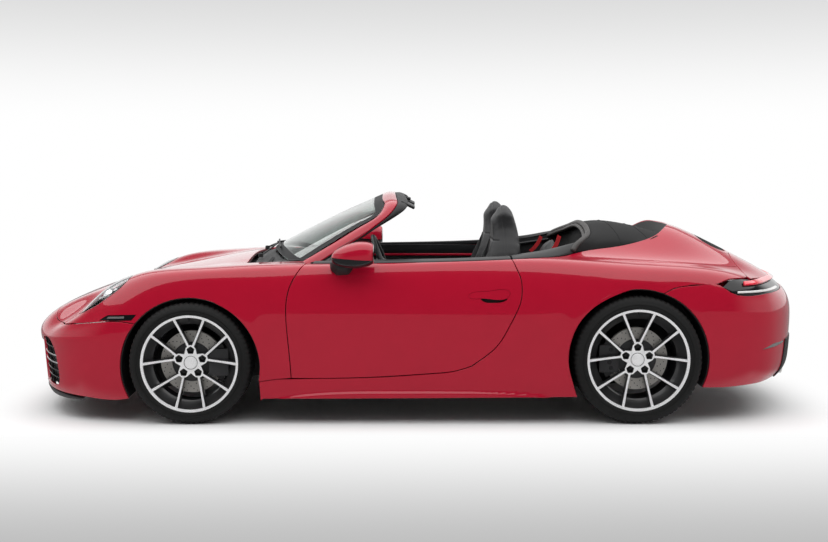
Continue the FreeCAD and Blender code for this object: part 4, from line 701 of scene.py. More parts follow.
tail_low = np.concatenate([tail_arch[-1:], on_side((1.70, 0.192), (1.85, 0.199), (1.97, 0.206)),
                           on_tail((-0.6, 0.215), (-0.4, 0.222), (-0.2, 0.225), (0, 0.225))])


def between(first, last):
    """A straight run of points between two, moved onto the body."""
    return settle(np.linspace(first, last, 4))


# ---------------------------------------------------------------- body panels
LEFT = (0, -1, 0)
NOSE = (-1, 0, 0)
LAMP_WAY = (-0.62, -0.42, 0.66)
lamp_outline = [(-1.888, -0.719, 0.583), (-1.837, -0.755, 0.608), (-1.767, -0.782, 0.645), (-1.703, -0.788, 0.691),
                (-1.640, -0.785, 0.736), (-1.602, -0.755, 0.779), (-1.595, -0.690, 0.803), (-1.625, -0.610, 0.802),
                (-1.700, -0.565, 0.765), (-1.780, -0.555, 0.712), (-1.850, -0.580, 0.652), (-1.890, -0.635, 0.605)]
marker_outline = on_side((-1.745, 0.566), (-1.722, 0.582), (-1.695, 0.596), (-1.61, 0.600), (-1.530, 0.603),
                         (-1.545, 0.585), (-1.560, 0.570), (-1.65, 0.566))
fender = panel([front_arch, fender_sill], [np.concatenate([hood_side, cowl_side[1:]]), cowl_end],
               bumper_seam, door_front)
fender = combined(fender, prism(lamp_outline, LAMP_WAY, 0.2, 0.2))
fender = combined(fender, prism(marker_outline, LEFT, smooth=False))
both_sides("fender_skin", fender, red_paint, stands_for=["front_fenders"], on_body=True)
both_sides("lamp_bowl", inlay(lamp_outline, LAMP_WAY, (0, 1, 0), 0.004, 0.030, 0.006), lamp_grey)
both_sides("lamp_rim", combined(inlay(lamp_outline, LAMP_WAY, (0, 1, 0), 0.028, 0.0032, -0.0005),
                                prism(lamp_outline, LAMP_WAY, 0.2, 0.2, -0.010)), black_gloss)
lamp_way = Vector(LAMP_WAY).normalized()
lamp_turn = lamp_way.to_track_quat("Z", "Y").to_matrix()
lamp_middle = Vector(np.mean(lamp_outline, 0)) + Vector((0.0, -0.012, 0.006))


def lamp_part(bm, u, v, deep):
    """Sets a part made about Z into the left headlamp."""
    return to_mesh(set_at(set_at(bm, (u, v, deep)), lamp_middle, lamp_turn))


reach = np.abs(np.array([lamp_turn.transposed() @ (Vector(p) - lamp_middle) for p in lamp_outline])).max(0)
lens = inlay(lamp_outline, LAMP_WAY, (0, 1, 0), 0.003, grow=-0.003)
for vert in lens.vertices:
    local = lamp_turn.transposed() @ (vert.co - lamp_middle)
    vert.co += lamp_way * 0.017 * max(0, 1 - (local.x / reach[0]) ** 2 - (local.y / reach[1]) ** 2)
both_sides("lamp_lens", lens, lamp_glass, stands_for=["headlights"])
both_sides("lamp_projector", lamp_part(lathe([(0, 0.026), (0.014, 0.024), (0.026, 0.017), (0.033, 0.006),
                                              (0.034, -0.004), (0, -0.006)], 48, closed=False), 0, 0, -0.020), chrome)
both_sides("lamp_ring", lamp_part(lathe([(0.036, -0.006), (0.038, 0.006), (0.043, 0.008), (0.046, 0.002),
                                         (0.046, -0.006), (0.036, -0.006)], 48, closed=False), 0, 0, -0.020),
           black_gloss)
for k, (u, v) in enumerate(((-0.062, -0.034), (0.062, -0.034), (-0.058, 0.038), (0.058, 0.038))):
    both_sides("lamp_light_%d" % k, lamp_part(soft_block((0.030, 0.018, 0.012), (0, 0, 0), 0.005), u, v, -0.016),
               lamp_white)
both_sides("side_marker", inlay(marker_outline, LEFT, (1, 0, 0), 0.010, 0.001, -0.002, smooth=False), black_gloss)
marker_strip = on_side((-1.70, 0.578), (-1.69, 0.588), (-1.60, 0.592), (-1.60, 0.581))
both_sides("marker_strip", inlay(marker_strip, LEFT, (1, 0, 0), 0.010, -0.0002, smooth=False), lamp_grey)

handle_outline = on_side((0.278, 0.703), (0.292, 0.720), (0.325, 0.729), (0.41, 0.735), (0.490, 0.738),
                         (0.507, 0.725), (0.500, 0.700), (0.478, 0.687), (0.41, 0.686), (0.34, 0.690), (0.29, 0.694))
grip_outline = on_side((0.345, 0.690), (0.36, 0.676), (0.42, 0.668), (0.47, 0.674), (0.492, 0.690), (0.478, 0.698),
                       (0.41, 0.696))
door = panel(door_low, belt, door_front, door_rear)
door = combined(door, prism(handle_outline, LEFT))
door = combined(door, prism(grip_outline, LEFT))
both_sides("door_skin", door, red_paint, body="door_SIDE", stands_for=["door_SIDE"], on_body=True)
both_sides("door_handle", inlay(handle_outline, LEFT, (1, 0, 0), 0.009, -0.001, -0.0016), red_paint, body="door_SIDE")
both_sides("handle_well", inlay(grip_outline, LEFT, (1, 0, 0), 0.003, 0.016, 0.012), black_plastic, body="door_SIDE")

nose_middle = on_nose(*[(0, z) for z in np.linspace(0.150, hood_front[-1][2] - 0.002, 12)])
nose_middle[-1] = hood_front[-1]
nose = panel(bumper_low[::-1], np.concatenate([bumper_seam, hood_front[1:]]), bumper_arch, nose_middle, centre=True)
intake_outline = [(-2.1, y, z) for y, z in (
    (-0.300, 0.380), (-0.45, 0.420), (-0.59, 0.444), (-0.655, 0.432), (-0.692, 0.360), (-0.706, 0.26), (-0.69, 0.190),
    (-0.61, 0.172), (-0.45, 0.172), (-0.335, 0.180), (-0.298, 0.24))]
low_half = [(0.08, 0.172), (0.16, 0.173), (0.222, 0.175), (0.252, 0.186), (0.268, 0.208), (0.268, 0.240),
            (0.252, 0.262), (0.222, 0.273), (0.16, 0.276), (0.08, 0.277)]
low_outline = [(-2.1, y, z) for y, z in low_half + [(0, 0.277)] + [(-y, z) for y, z in low_half[::-1]] + [(0, 0.172)]]
for sign in (1, -1):
    nose = combined(nose, prism([(x, y * sign, z) for x, y, z in intake_outline], NOSE, 0.4, 0.4))
nose = combined(nose, prism(low_outline, NOSE, 0.4, 0.4))
piece("nose_skin", shaded(nose), red_paint, stands_for=["front_bumper"])


def end_strip(on_end, low_z, high_z, first_y, last_y, inset, depth=0.006):
    """A strip round the nose or tail between two heights and two distances from the centre plane."""
    ends = np.linspace(first_y, last_y, 9)
    low, high = on_end(*[(y, low_z) for y in ends]), on_end(*[(y, high_z) for y in ends])
    return panel(low, high, cell=0.012, centre=last_y == 0, inset=inset, gap=0.0, depth=depth,
                 roll=min(0.0018, depth / 3))


def upright_fin(on_end, y, thick, low_z, high_z, inset, depth):
    """A fin across the nose or tail at a distance from the centre plane."""
    near, far = on_end((y, low_z), (y, high_z)), on_end((y - thick, low_z), (y - thick, high_z))
    return panel(near, far, inset=inset, gap=0, depth=depth, roll=0.001)


intake_back = end_strip(on_nose, 0.155, 0.46, -0.722, 0, 0.040)
piece("intake_mesh", shaded(intake_back, False), mesh_black, stands_for=["front_grilles"])
for k, z in enumerate((0.342, 0.300)):
    both_sides("intake_slat_%d" % k, end_strip(on_nose, z - 0.004, z + 0.004, -0.70, -0.30, 0.014, 0.020), chrome)
for k, z in enumerate((0.385, 0.255, 0.215)):
    both_sides("intake_blade_%d" % k, end_strip(on_nose, z - 0.003, z + 0.003, -0.705, -0.30, 0.018, 0.018),
               black_gloss)
for k, y in enumerate((-0.42, -0.54)):
    both_sides("intake_fin_%d" % k, upright_fin(on_nose, y, 0.006, 0.165, 0.44, 0.022, 0.016), black_plastic)
lip_low = np.concatenate([on_nose((0, 0.112), (-0.2, 0.112), (-0.4, 0.112), (-0.6, 0.112)),
                          on_side((-1.97, 0.113), (-1.86, 0.115))])
lip_high = np.concatenate([on_nose((0, 0.147), (-0.2, 0.147), (-0.4, 0.145), (-0.6, 0.143)),
                           on_side((-1.96, 0.134), (-1.85, 0.125))])
lip = panel(lip_low[::-1], lip_high[::-1], centre=True, gap=0.001, inset=-0.004, depth=0.03)
piece("front_lip", shaded(lip, False), black_plastic, stands_for=["front_splitter"])

hood_rear = on_top((-0.957, -0.64), (-0.962, -0.4), (-0.97, -0.2), (-0.975, 0))
hood_middle = on_top(*[(x, 0) for x in np.linspace(-2.112, -0.975, 12)])
hood = panel(hood_side, hood_middle, hood_front, hood_rear, centre=True)
piece("hood_skin", shaded(hood), red_paint, body="hood", stands_for=["hood"])
quarter = panel([sill_low, sill_low_rear, rear_arch], [sill_top, door_rear, quarter_top],
                quarter_front, np.concatenate([rear_seam, on_side((1.70, 0.787), (1.78, 0.793)), tail_end]))
both_sides("quarter_skin", quarter, red_paint, stands_for=["rear_quarters", "side_skirts"], on_body=True)

tail_middle = on_tail(*[(0, z) for z in np.linspace(0.225, 0.71, 14)])
tail = panel(tail_low, np.concatenate([rear_seam, lamp_low[1:]]), tail_arch[::-1], tail_middle, centre=True)
diffuser_outline = [(2.1, y, z) for y, z in (
    (-0.575, 0.150), (-0.585, 0.26), (-0.572, 0.395), (-0.535, 0.420), (-0.475, 0.385), (-0.37, 0.345),
    (0, 0.340), (0.37, 0.345), (0.475, 0.385), (0.535, 0.420), (0.572, 0.395), (0.585, 0.26), (0.575, 0.150))]
REAR = (1, 0, 0)
tail = combined(tail, prism(diffuser_outline, REAR, 0.4, 0.4, smooth=False))
reflector_outline = on_tail((-0.800, 0.397), (-0.74, 0.424), (-0.62, 0.427), (-0.615, 0.415), (-0.70, 0.405))
REAR_CORNER = (0.75, -0.66, 0)
for sign in (1, -1):
    outline = reflector_outline * (1, sign, 1)
    tail = combined(tail, prism(outline, np.array(REAR_CORNER) * (1, sign, 1), smooth=False))
plate_outline = on_tail((-0.265, 0.445), (-0.265, 0.575), (0.265, 0.575), (0.265, 0.445))
tail = combined(tail, prism(plate_outline, REAR, 0.2, 0.2, smooth=False))
piece("plate_tray", soft_block((0.006, 0.545, 0.145), (2.205, 0, 0.510), 0.002), red_under)
piece("plate_blank", soft_block((0.003, 0.505, 0.108), (2.2115, 0, 0.510), 0.0012), lamp_white)
piece("tail_skin", shaded(tail), red_paint, stands_for=["rear_bumper"])
both_sides("rear_reflector", inlay(reflector_outline, REAR_CORNER, (0, 0, 1), 0.012, 0.001, -0.0012, smooth=False),
           lamp_grey)


piece("diffuser", shaded(end_strip(on_tail, 0.215, 0.43, -0.60, 0, -0.006), False), mesh_black)
for k, y in enumerate((-0.06, -0.18, -0.545)):
    both_sides("diffuser_fin_%d" % k, upright_fin(on_tail, y, 0.008, 0.22, 0.335, -0.004, 0.022), black_plastic)


# ---------------------------------------------------------------- tail deck
lid_middle = on_top(*[(x, 0) for x in np.linspace(1.508, 1.885, 8)])
deck = panel(lid_side, lid_middle, u_edge, tail_seam, centre=True)
UP = (0, 0, 1)


def lid_outline(half, back, front):
    """A closed line on the deck from its left half's points and its middle's two ends."""
    half = [(x, y, 1) for x, y in half]
    return half + [(back, 0, 1)] + [(x, -y, z) for x, y, z in half[::-1]] + [(front, 0, 1)]


grille_outline = lid_outline([(1.666, -0.30), (1.672, -0.39), (1.71, -0.43), (1.80, -0.40), (1.842, -0.22)],
                             1.86, 1.664)
thin_deck = panel(lid_side, lid_middle, u_edge, tail_seam, centre=True, depth=0.008)
engine_lid = combined(thin_deck, prism(grille_outline, UP, 0.3, 0.3, -0.002), "INTERSECT")
deck = combined(deck, prism(grille_outline, UP, 0.3, 0.3, 0.0025))
vent_outline = lid_outline([(1.64, -0.28), (1.66, -0.37), (1.72, -0.395), (1.79, -0.37), (1.825, -0.2)], 1.838, 1.635)
piece("deck_skin", shaded(combined(deck, prism(vent_outline, UP, 0.3, 0.3))), red_paint, stands_for=["soft_top_lid"])
engine_lid = combined(engine_lid, prism(vent_outline, UP, 0.3, 0.3))
piece("engine_lid_skin", shaded(engine_lid), red_paint, body="rear_lid", stands_for=["rear_lid"])
spoiler_edge = on_tail((-0.70, 0.784), (-0.6, 0.780), (-0.45, 0.779), (-0.25, 0.783), (0, 0.786))
spoiler = panel(np.concatenate([tail_end, tail_seam[1:]]), spoiler_edge, between(tail_end[0], spoiler_edge[0]),
                on_top(*[(x, 0) for x in np.linspace(1.885, 2.113, 8)]), centre=True)
piece("spoiler_skin", shaded(spoiler), red_paint, body="rear_spoiler", stands_for=["rear_spoiler"])

lamp_band = panel(lamp_low[1:], lamp_high[1:], between(lamp_low[1], lamp_high[1]),
                  on_tail((0, 0.71), (0, 0.745), (0, 0.777)), centre=True, inset=0.006, gap=0.0)


def lamp_strip(low_z, high_z, inset, start_x, end_y):
    """A strip round the tail between two heights."""
    def rim(z):
        lead = on_side((start_x, z), (start_x + 0.06, z), (start_x + 0.12, z))
        ends = [(y, z) for y in np.linspace(-0.66, end_y, 8)]
        return np.concatenate([lead, on_tail(*ends)])
    low, high = rim(low_z), rim(high_z)
    return panel(low, high, centre=end_y == 0, inset=inset, gap=0.001, depth=0.010, cell=0.010)


piece("lamp_housing", shaded(lamp_band, False), black_gloss, stands_for=["rear_lights"])
piece("lamp_strip", shaded(lamp_strip(0.754, 0.773, -0.009, 1.80, 0.0), False), lamp_red)
both_sides("lamp_reflector", lamp_strip(0.716, 0.728, 0.001, 1.76, -0.50), lamp_white)

# ---------------------------------------------------------------- folded soft top
top_front = np.array([(0.878, -0.655, 0.931), (0.90, -0.628, 0.962), (0.945, -0.575, 0.988), (0.992, -0.48, 1.013),
                      (1.008, -0.32, 1.038), (1.012, -0.15, 1.056), (1.013, 0, 1.060)])
top_centre = np.array([(1.013, 0, 1.060), (1.10, 0, 1.070), (1.20, 0, 1.062), (1.32, 0, 1.040), (1.45, 0, 1.005),
                       (1.53, 0, 0.975)])
top_side = u_edge[:7] + (0, 0.006, -0.006)
top_side[0] = top_front[0]
top_rear = np.array([u_edge[6] + (0, 0.006, -0.006), (1.47, -0.38, 0.975), (1.52, -0.22, 0.97), (1.53, 0, 0.975)])


def crowned(grid):
    """Fills the fabric out between its edges."""
    u = np.linspace(0, 1, grid.shape[0])[:, None]
    v = np.linspace(0, 1, grid.shape[1])[None, :]
    grid = grid.copy()
    grid[..., 2] += 0.030 * np.sin(math.pi * np.clip(v, 0, 1)) ** 0.8 * np.sin(math.pi * u) ** 0.6
    return grid


cover = panel(top_side, top_centre, top_front, top_rear, shape=crowned, centre=True, gap=0.0, depth=0.02, roll=0.004)
piece("soft_top_cover", shaded(cover, False), dark_fabric, stands_for=["folded_soft_top"])


# ---------------------------------------------------------------- wheels
def lofted(bm, rings):
    """A closed skin over rings of vertices."""
    for first, second in zip(rings, rings[1:]):
        for k in range(len(first)):
            after = (k + 1) % len(first)
            bm.faces.new((first[k], first[after], second[after], second[k]))
    bm.faces.new(rings[0])
    bm.faces.new(rings[-1][::-1])


def added(target, other, index=None):
    """Puts one bmesh's parts into another, all in one material where its index is given."""
    for face in () if index is None else other.faces:
        face.material_index = index
    mesh = to_mesh(other)
    target.from_mesh(mesh)
    bpy.data.meshes.remove(mesh)
    return target


def hewn(bm, above=-1.0):
    """Bright machined tops, black sides; soft edges between them."""
    bmesh.ops.recalc_face_normals(bm, faces=bm.faces)
    bm.normal_update()
    for face in bm.faces:
        bright = face.normal.z > 0.75 and face.calc_center_median().z > above
        face.material_index = 0 if bright else 1
    return bm


def bar(outline, top, bottom, bevel=0.0012):
    """A flat plate of the outline's shape; top and bottom are heights, or functions of the radius."""
    bm = bmesh.new()
    bm.faces.new([bm.verts.new((x, y, 0)) for x, y in outline])
    high = extruded(bm)
    for vert in bm.verts:
        radius = math.hypot(vert.co.x, vert.co.y)
        level = top if vert in high else bottom
        vert.co.z = level(radius) if callable(level) else level
    bmesh.ops.recalc_face_normals(bm, faces=bm.faces)
    if bevel:
        bevelled(bm, bevel)
    return bm


def turned(points, degrees):
    """(x, y) points turned about the axle."""
    c, s = math.cos(math.radians(degrees)), math.sin(math.radians(degrees))
    return [(c * x - s * y, s * x + c * y) for x, y in points]


def placed(mesh, hub):
    """From the wheel's own frame, face up, to its place on the left side."""
    mesh.transform(Matrix.Translation(hub) @ Matrix(((1, 0, 0, 0), (0, 0, -1, 0), (0, 1, 0, 0), (0, 0, 0, 1))))
    return mesh


def spoke(start, end, half, rise):
    """One spoke from near the hub to the lip, both given as (radius, angle)."""
    a, b = [np.array((r * math.cos(math.radians(t)), r * math.sin(math.radians(t)))) for r, t in (start, end)]
    way = (b - a) / np.linalg.norm(b - a)
    across = np.array((-way[1], way[0]))
    bm = bmesh.new()
    rings = []
    for share in np.linspace(0, 1, 9):
        middle = a + (b - a) * share
        radius = np.linalg.norm(middle)
        width = half * (1.0 - 0.22 * math.sin(math.pi * share)) + 0.0012 * share
        top = rise(radius)
        ring = [(middle + across * width, top), (middle + across * (width + 0.006), top - 0.030),
                (middle - across * (width + 0.006), top - 0.030), (middle - across * width, top)]
        rings.append([bm.verts.new((*place, height)) for place, height in ring])
    lofted(bm, rings)
    bmesh.ops.recalc_face_normals(bm, faces=bm.faces)
    edges = [edge for edge in bm.edges if len(edge.link_faces) == 2 and edge.calc_face_angle() > 0.5]
    bevelled(bm, 0.0013, edges)
    return bm


def make_wheel(end, hub, lip, outer, inner, face):
    """Rim, tyre and disc of one axle; heights are along the axle from the wheel's middle."""
    bead = lip - 0.0078

    def rise(radius):
        share = min(max((radius - 0.07) / (bead - 0.07), 0), 1)
        return face + (outer - 0.010 - face) * share ** 1.6

    rim = lathe([(lip, outer), (lip, outer - 0.006), (bead - 0.0005, outer - 0.014), (bead - 0.006, outer - 0.012),
                 (bead - 0.0055, outer - 0.004), (lip - 0.004, outer + 0.0005)], 120, 0)
    well = 0.212 / 0.267 * lip
    barrel = lathe([(bead - 0.003, outer - 0.008), (bead - 0.006, outer - 0.030), (well, outer - 0.070),
                    (well - 0.002, inner + 0.09), (bead - 0.018, inner + 0.060), (bead - 0.016, inner + 0.015),
                    (lip - 0.002, inner), (lip, inner + 0.004), (bead, inner + 0.016), (bead - 0.012, inner + 0.060),
                    (well + 0.004, inner + 0.095), (well + 0.005, outer - 0.067), (bead, outer - 0.026),
                    (bead, outer - 0.010)], 96, 1)
    added(rim, barrel)
    for pair in range(5):
        middle = 90 + 72 * pair
        for lean in (-18, 18):
            added(rim, hewn(spoke((0.086, middle + lean * 0.40), (bead - 0.003, middle + lean * 1.03), 0.0066, rise)))
    star = [turned([(r, 0)], angle)[0] for pair in range(5) for r, angle in (
        (0.084, 71 + 72 * pair), (0.098, 83 + 72 * pair), (0.098, 97 + 72 * pair), (0.084, 109 + 72 * pair),
        (0.059, 126 + 72 * pair))]
    hub_plate = to_mesh(bar(star, face + 0.0015, face - 0.045))
    pocket = [(0.0232 * math.cos(math.radians(a)), 0.0232 * math.sin(math.radians(a))) for a in range(18, 378, 72)]
    for pair in range(5):
        shape = turned([(x, y + 0.0675) for x, y in pocket], 72 * pair)
        cutter = to_mesh(bar(shape, face + 0.05, face - 0.030, 0.004))
        hub_plate = combined(hub_plate, cutter)
    hub_bm = bmesh.new()
    hub_bm.from_mesh(hub_plate)
    added(rim, hewn(hub_bm, face - 0.015))
    cap = lathe([(0, face + 0.007), (0.020, face + 0.0062), (0.031, face + 0.004), (0.0345, face + 0.0015),
                 (0.0345, face - 0.002), (0, face - 0.002)], 64, 0, closed=False)
    ring = lathe([(0.0375, face + 0.0014), (0.0372, face + 0.003), (0.0355, face + 0.003), (0.035, face + 0.0014)],
                 64, 1)
    added(added(rim, cap), ring)
    for pair in range(5):
        bolt = bmesh.new()
        bmesh.ops.create_cone(bolt, cap_ends=True, segments=6, radius1=0.0085, radius2=0.0075, depth=0.016)
        bevelled(bolt, 0.0012)
        set_at(bolt, (*turned([(0, 0.0665)], 72 * pair)[0], face - 0.026))
        added(rim, bolt, 2)
    valve = bmesh.new()
    bmesh.ops.create_cone(valve, cap_ends=True, segments=12, radius1=0.004, radius2=0.003, depth=0.030)
    set_at(valve, (0, bead - 0.024, outer - 0.028), ("X", 50))
    added(rim, valve, 1)
    rim = placed(to_mesh(rim), hub)
    both_sides("alloy_" + end, rim, [alloy_bright, alloy_dark, cast_black_and_hole_shade], body="wheel_%s_SIDE" % end,
               stands_for=["rim_%s_SIDE" % end])

    # tyre: bead, sidewall with rubbing ring, shoulder, tread with grooves
    big = hub[2]
    wide = outer + 0.0045
    half_profile = [(bead - 0.002, outer - 0.012), (lip + 0.001, outer - 0.002), (lip + 0.007, wide - 0.003),
                    (lip + 0.012, wide), (lip + 0.018, wide + 0.0005), (lip + 0.020, wide - 0.0015),
                    (lip + 0.024, wide - 0.0012), (lip + 0.026, wide + 0.0003), (lip + 0.034, wide - 0.0005),
                    (lip + 0.036, wide - 0.0025), (lip + 0.041, wide - 0.0035), (big - 0.022, wide - 0.009),
                    (big - 0.018, wide - 0.0105), (big - 0.010, wide - 0.016), (big - 0.0045, wide - 0.025),
                    (big - 0.0015, wide - 0.038)]
    span = wide - 0.038
    tread = [(big - 0.0015, wide - 0.038)]
    for groove in (0.62, 0.16):
        centre_at = span * groove
        tread += [(big - 0.0005, centre_at + 0.006), (big - 0.0075, centre_at + 0.005),
                  (big - 0.0075, centre_at - 0.005), (big - 0.0003, centre_at - 0.006)]
    shift = (outer + inner) / 2
    near = half_profile[:-1] + tread
    profile = near + [(r, 2 * shift - h) for r, h in reversed(near)]
    steps = 216
    tyre = lathe(profile, steps)
    for vert in tyre.verts:
        radius = math.hypot(vert.co.x, vert.co.y)
        turn = round(math.atan2(vert.co.y, vert.co.x) / (2 * math.pi) * steps) % 3
        if radius > big - 0.019 and turn == 0 and abs(vert.co.z - shift) > span * 0.66:
            vert.co.x *= (radius - 0.0038) / radius
            vert.co.y *= (radius - 0.0038) / radius
            vert.co.z -= 0.0015 * math.copysign(1, vert.co.z - shift)
    both_sides("tread_tyre_" + end, placed(to_mesh(tyre), hub), rubber, body="wheel_%s_SIDE" % end,
               stands_for=["tyre_%s_SIDE" % end])

    disc_face = face - 0.042
    disc = lathe([(0.172, disc_face), (0.1725, disc_face - 0.010), (0.165, disc_face - 0.011),
                  (0.165, disc_face - 0.019), (0.1725, disc_face - 0.020), (0.172, disc_face - 0.030),
                  (0.112, disc_face - 0.030), (0.108, disc_face - 0.028), (0.108, disc_face)], 96, 0)
    hat = lathe([(0.111, disc_face - 0.001), (0.108, disc_face + 0.004), (0.095, disc_face + 0.006),
                 (0.088, face - 0.034), (0.080, face - 0.032), (0, face - 0.032), (0, face - 0.040),
                 (0.086, face - 0.040), (0.100, disc_face - 0.004), (0.108, disc_face - 0.006)], 72, 1, closed=False)
    added(disc, hat)
    # painted shade: the drilled holes are flat near-black discs laid on the disc face, standing in for the dark
    # inside of the holes
    for ring_of_holes in range(18):
        for k, radius in enumerate((0.124, 0.138, 0.152, 0.163)):
            hole = bmesh.new()
            bmesh.ops.create_circle(hole, cap_ends=True, segments=8, radius=0.0030)
            set_at(hole, (*turned([(radius, 0)], ring_of_holes * 20 + k * 6.5)[0], disc_face + 0.0003))
            added(disc, hole, 1)
    both_sides("drilled_disc_" + end, placed(to_mesh(disc), hub), [disc_steel, cast_black_and_hole_shade],
               body="wheel_%s_SIDE" % end, stands_for=["brake_disc_%s_SIDE" % end])

    # brake caliper, behind the front axle and ahead of the rear one
    way = 0 if end == "front" else 180
    caliper = bmesh.new()
    for low, high, outer_r, inner_r, reach in ((-32, 32, 0.196, 0.118, 0.012), (-24, 24, 0.203, 0.176, 0.015)):
        rings = []
        for angle in np.linspace(low, high, 13):
            ring = [turned([(radius, 0)], way + angle)[0] + (height,) for radius, height in (
                (inner_r, disc_face + 0.004), (inner_r + 0.006, disc_face + reach - 0.004),
                ((inner_r + outer_r) / 2, disc_face + reach), (outer_r - 0.008, disc_face + reach - 0.003),
                (outer_r, disc_face + 0.008), (outer_r, disc_face - 0.045), (outer_r - 0.010, disc_face - 0.052),
                (inner_r, disc_face - 0.052), (inner_r, disc_face - 0.034), (0.177, disc_face - 0.034),
                (0.177, disc_face + 0.004))]
            rings.append([caliper.verts.new(point) for point in ring])
        lofted(caliper, rings)
    bmesh.ops.recalc_face_normals(caliper, faces=caliper.faces)
    for angle in (-20, -7, 7, 20):
        piston = bmesh.new()
        bmesh.ops.create_cone(piston, cap_ends=True, segments=20, radius1=0.015, radius2=0.0125, depth=0.010)
        added(caliper, set_at(piston, (*turned([(0.150, 0)], way + angle)[0], disc_face + 0.0105)))
    rides = "knuckle_SIDE" if end == "front" else "body"
    both_sides("caliper_" + end, placed(to_mesh(caliper), hub), black_gloss, body=rides)


make_wheel("front", FRONT_HUB, 0.267, 0.117, -0.117, 0.066)
make_wheel("rear", REAR_HUB, 0.280, 0.147, -0.146, 0.107)


# ---------------------------------------------------------------- windscreen and its frame
glass_side = np.array([(-0.668, -0.668, 0.862), (-0.547, -0.640, 0.933), (-0.434, -0.617, 1.000),
                       (-0.321, -0.592, 1.068), (-0.208, -0.560, 1.145), (-0.186, -0.520, 1.187),
                       (-0.194, -0.42, 1.211), (-0.203, -0.22, 1.236), (-0.206, 0, 1.243)])
frame_side = np.array([(-0.572, -0.700, 0.858), (-0.489, -0.680, 0.912), (-0.404, -0.662, 0.963),
                       (-0.320, -0.645, 1.013), (-0.236, -0.622, 1.075), (-0.151, -0.594, 1.146),
                       (-0.119, -0.560, 1.189), (-0.114, -0.46, 1.219), (-0.126, -0.24, 1.245), (-0.132, 0, 1.253)])
seal_side = np.array([(-0.545, -0.672, 0.868), (-0.433, -0.648, 0.942), (-0.320, -0.628, 1.007),
                      (-0.208, -0.603, 1.075), (-0.097, -0.572, 1.143), (-0.060, -0.536, 1.172),
                      (-0.050, -0.45, 1.203), (-0.066, -0.24, 1.228), (-0.074, 0, 1.236)])
screen_frame = panel(glass_side, frame_side, **puffed(0.007, (-0.4, -0.6, 0.6)),
                     centre=True, gap=0.0, depth=0.028, roll=0.003, cell=0.010)
piece("screen_frame", shaded(screen_frame, False), red_paint, stands_for=["windscreen_frame"])
seal = panel(frame_side + (0.003, 0.002, -0.004), seal_side, **puffed(0.006, (0.3, -0.8, 0.5)), centre=True, gap=0.0,
             depth=0.02, roll=0.003, cell=0.010)
piece("screen_seal", shaded(seal, False), black_plastic)
lining_edge = seal_side + (-0.05, 0.045, -0.02)
lining_edge[-3:] = seal_side[-3:] + (-0.085, 0.0, -0.030)
lining = panel(seal_side + (-0.004, 0.006, -0.006), lining_edge, **puffed(0.004, (0.3, 0.8, -0.5)), centre=True,
               gap=0.0, depth=0.006, roll=0.0015)
piece("screen_lining", shaded(lining, False), black_plastic)
foot = np.array([(-0.668, -0.668, 0.862), (-0.735, -0.56, 0.882), (-0.80, -0.38, 0.906), (-0.845, -0.18, 0.920),
                 (-0.858, 0, 0.925)])
edge_in = glass_side + (0.0, 0.004, -0.004)
centre_line = np.linspace(foot[-1], edge_in[-1], 4)
pane = panel(foot, edge_in[5:], edge_in[:6], centre_line, **puffed(0.010, (-0.6, 0, 1)),
             centre=True, gap=0.0, depth=0.0045, roll=0.001, cell=0.022)
piece("screen_pane", shaded(pane, False), screen_glass, stands_for=["windscreen"])
for name, sides, centre in (("side", (edge_in[:6], edge_in[:6] + (-0.014, 0.046, 0.0)), False),
                            ("header", (edge_in[5:], edge_in[5:] + (-0.050, 0.0, 0.0)), True),
                            ("foot", (foot, foot + (0.045, 0.0, 0.0)), True)):
    band = panel(*sides, centre=centre, shape=lambda grid: dropped(pane, grid, 0.0012), out=(-0.5, -0.2, 1), gap=0.0,
                 depth=0.0008, roll=0, cell=0.012)
    if centre:
        piece("screen_band_" + name, shaded(band, False), screen_border)
    else:
        both_sides("screen_band_" + name, band, screen_border)

# cowl, wipers
cowl_front = hood_rear[::-1] + (0.036, 0, -0.006)
cowl_back = foot[::-1] + (0.0, 0, -0.012)
cowl = panel(cowl_front, cowl_back, np.linspace(cowl_front[0], cowl_back[0], 3),
             np.array([cowl_front[-1], (-0.82, -0.66, 0.861), cowl_back[-1]]),
             shape=lambda grid: grid - (0, 0, 0.004), out=(0, 0, 1), centre=True, gap=0.004, depth=0.012)
piece("cowl_skin", shaded(cowl, False), mesh_black, stands_for=["cowl_panel"])
piece("cowl_gutter", soft_block((0.110, 1.20, 0.006), (-0.945, 0, 0.832), 0.002), black_plastic)
for k, (root, bend, tip, blade_from, blade_to) in enumerate((
        ((-0.905, -0.43, 0.893), (-0.86, -0.30, 0.925), (-0.845, -0.05, 0.945), (-0.80, -0.33, 0.935),
         (-0.865, 0.20, 0.948)),
        ((-0.925, 0.06, 0.905), (-0.885, 0.18, 0.930), (-0.80, 0.36, 0.935), (-0.865, 0.10, 0.940),
         (-0.735, 0.53, 0.905)))):
    arm = pipe([root, bend, tip], 0.0055)
    blade = pipe([blade_from, tuple(np.array(tip) + (0.005, 0, 0.003)), blade_to], 0.005)
    knuckle = lathe([(0, 0.014), (0.012, 0.012), (0.014, 0.004), (0.014, -0.01), (0, -0.01)], 20, closed=False)
    piece("wiper_%d" % k, joined(arm, blade, set_at(knuckle, root)), black_plastic)

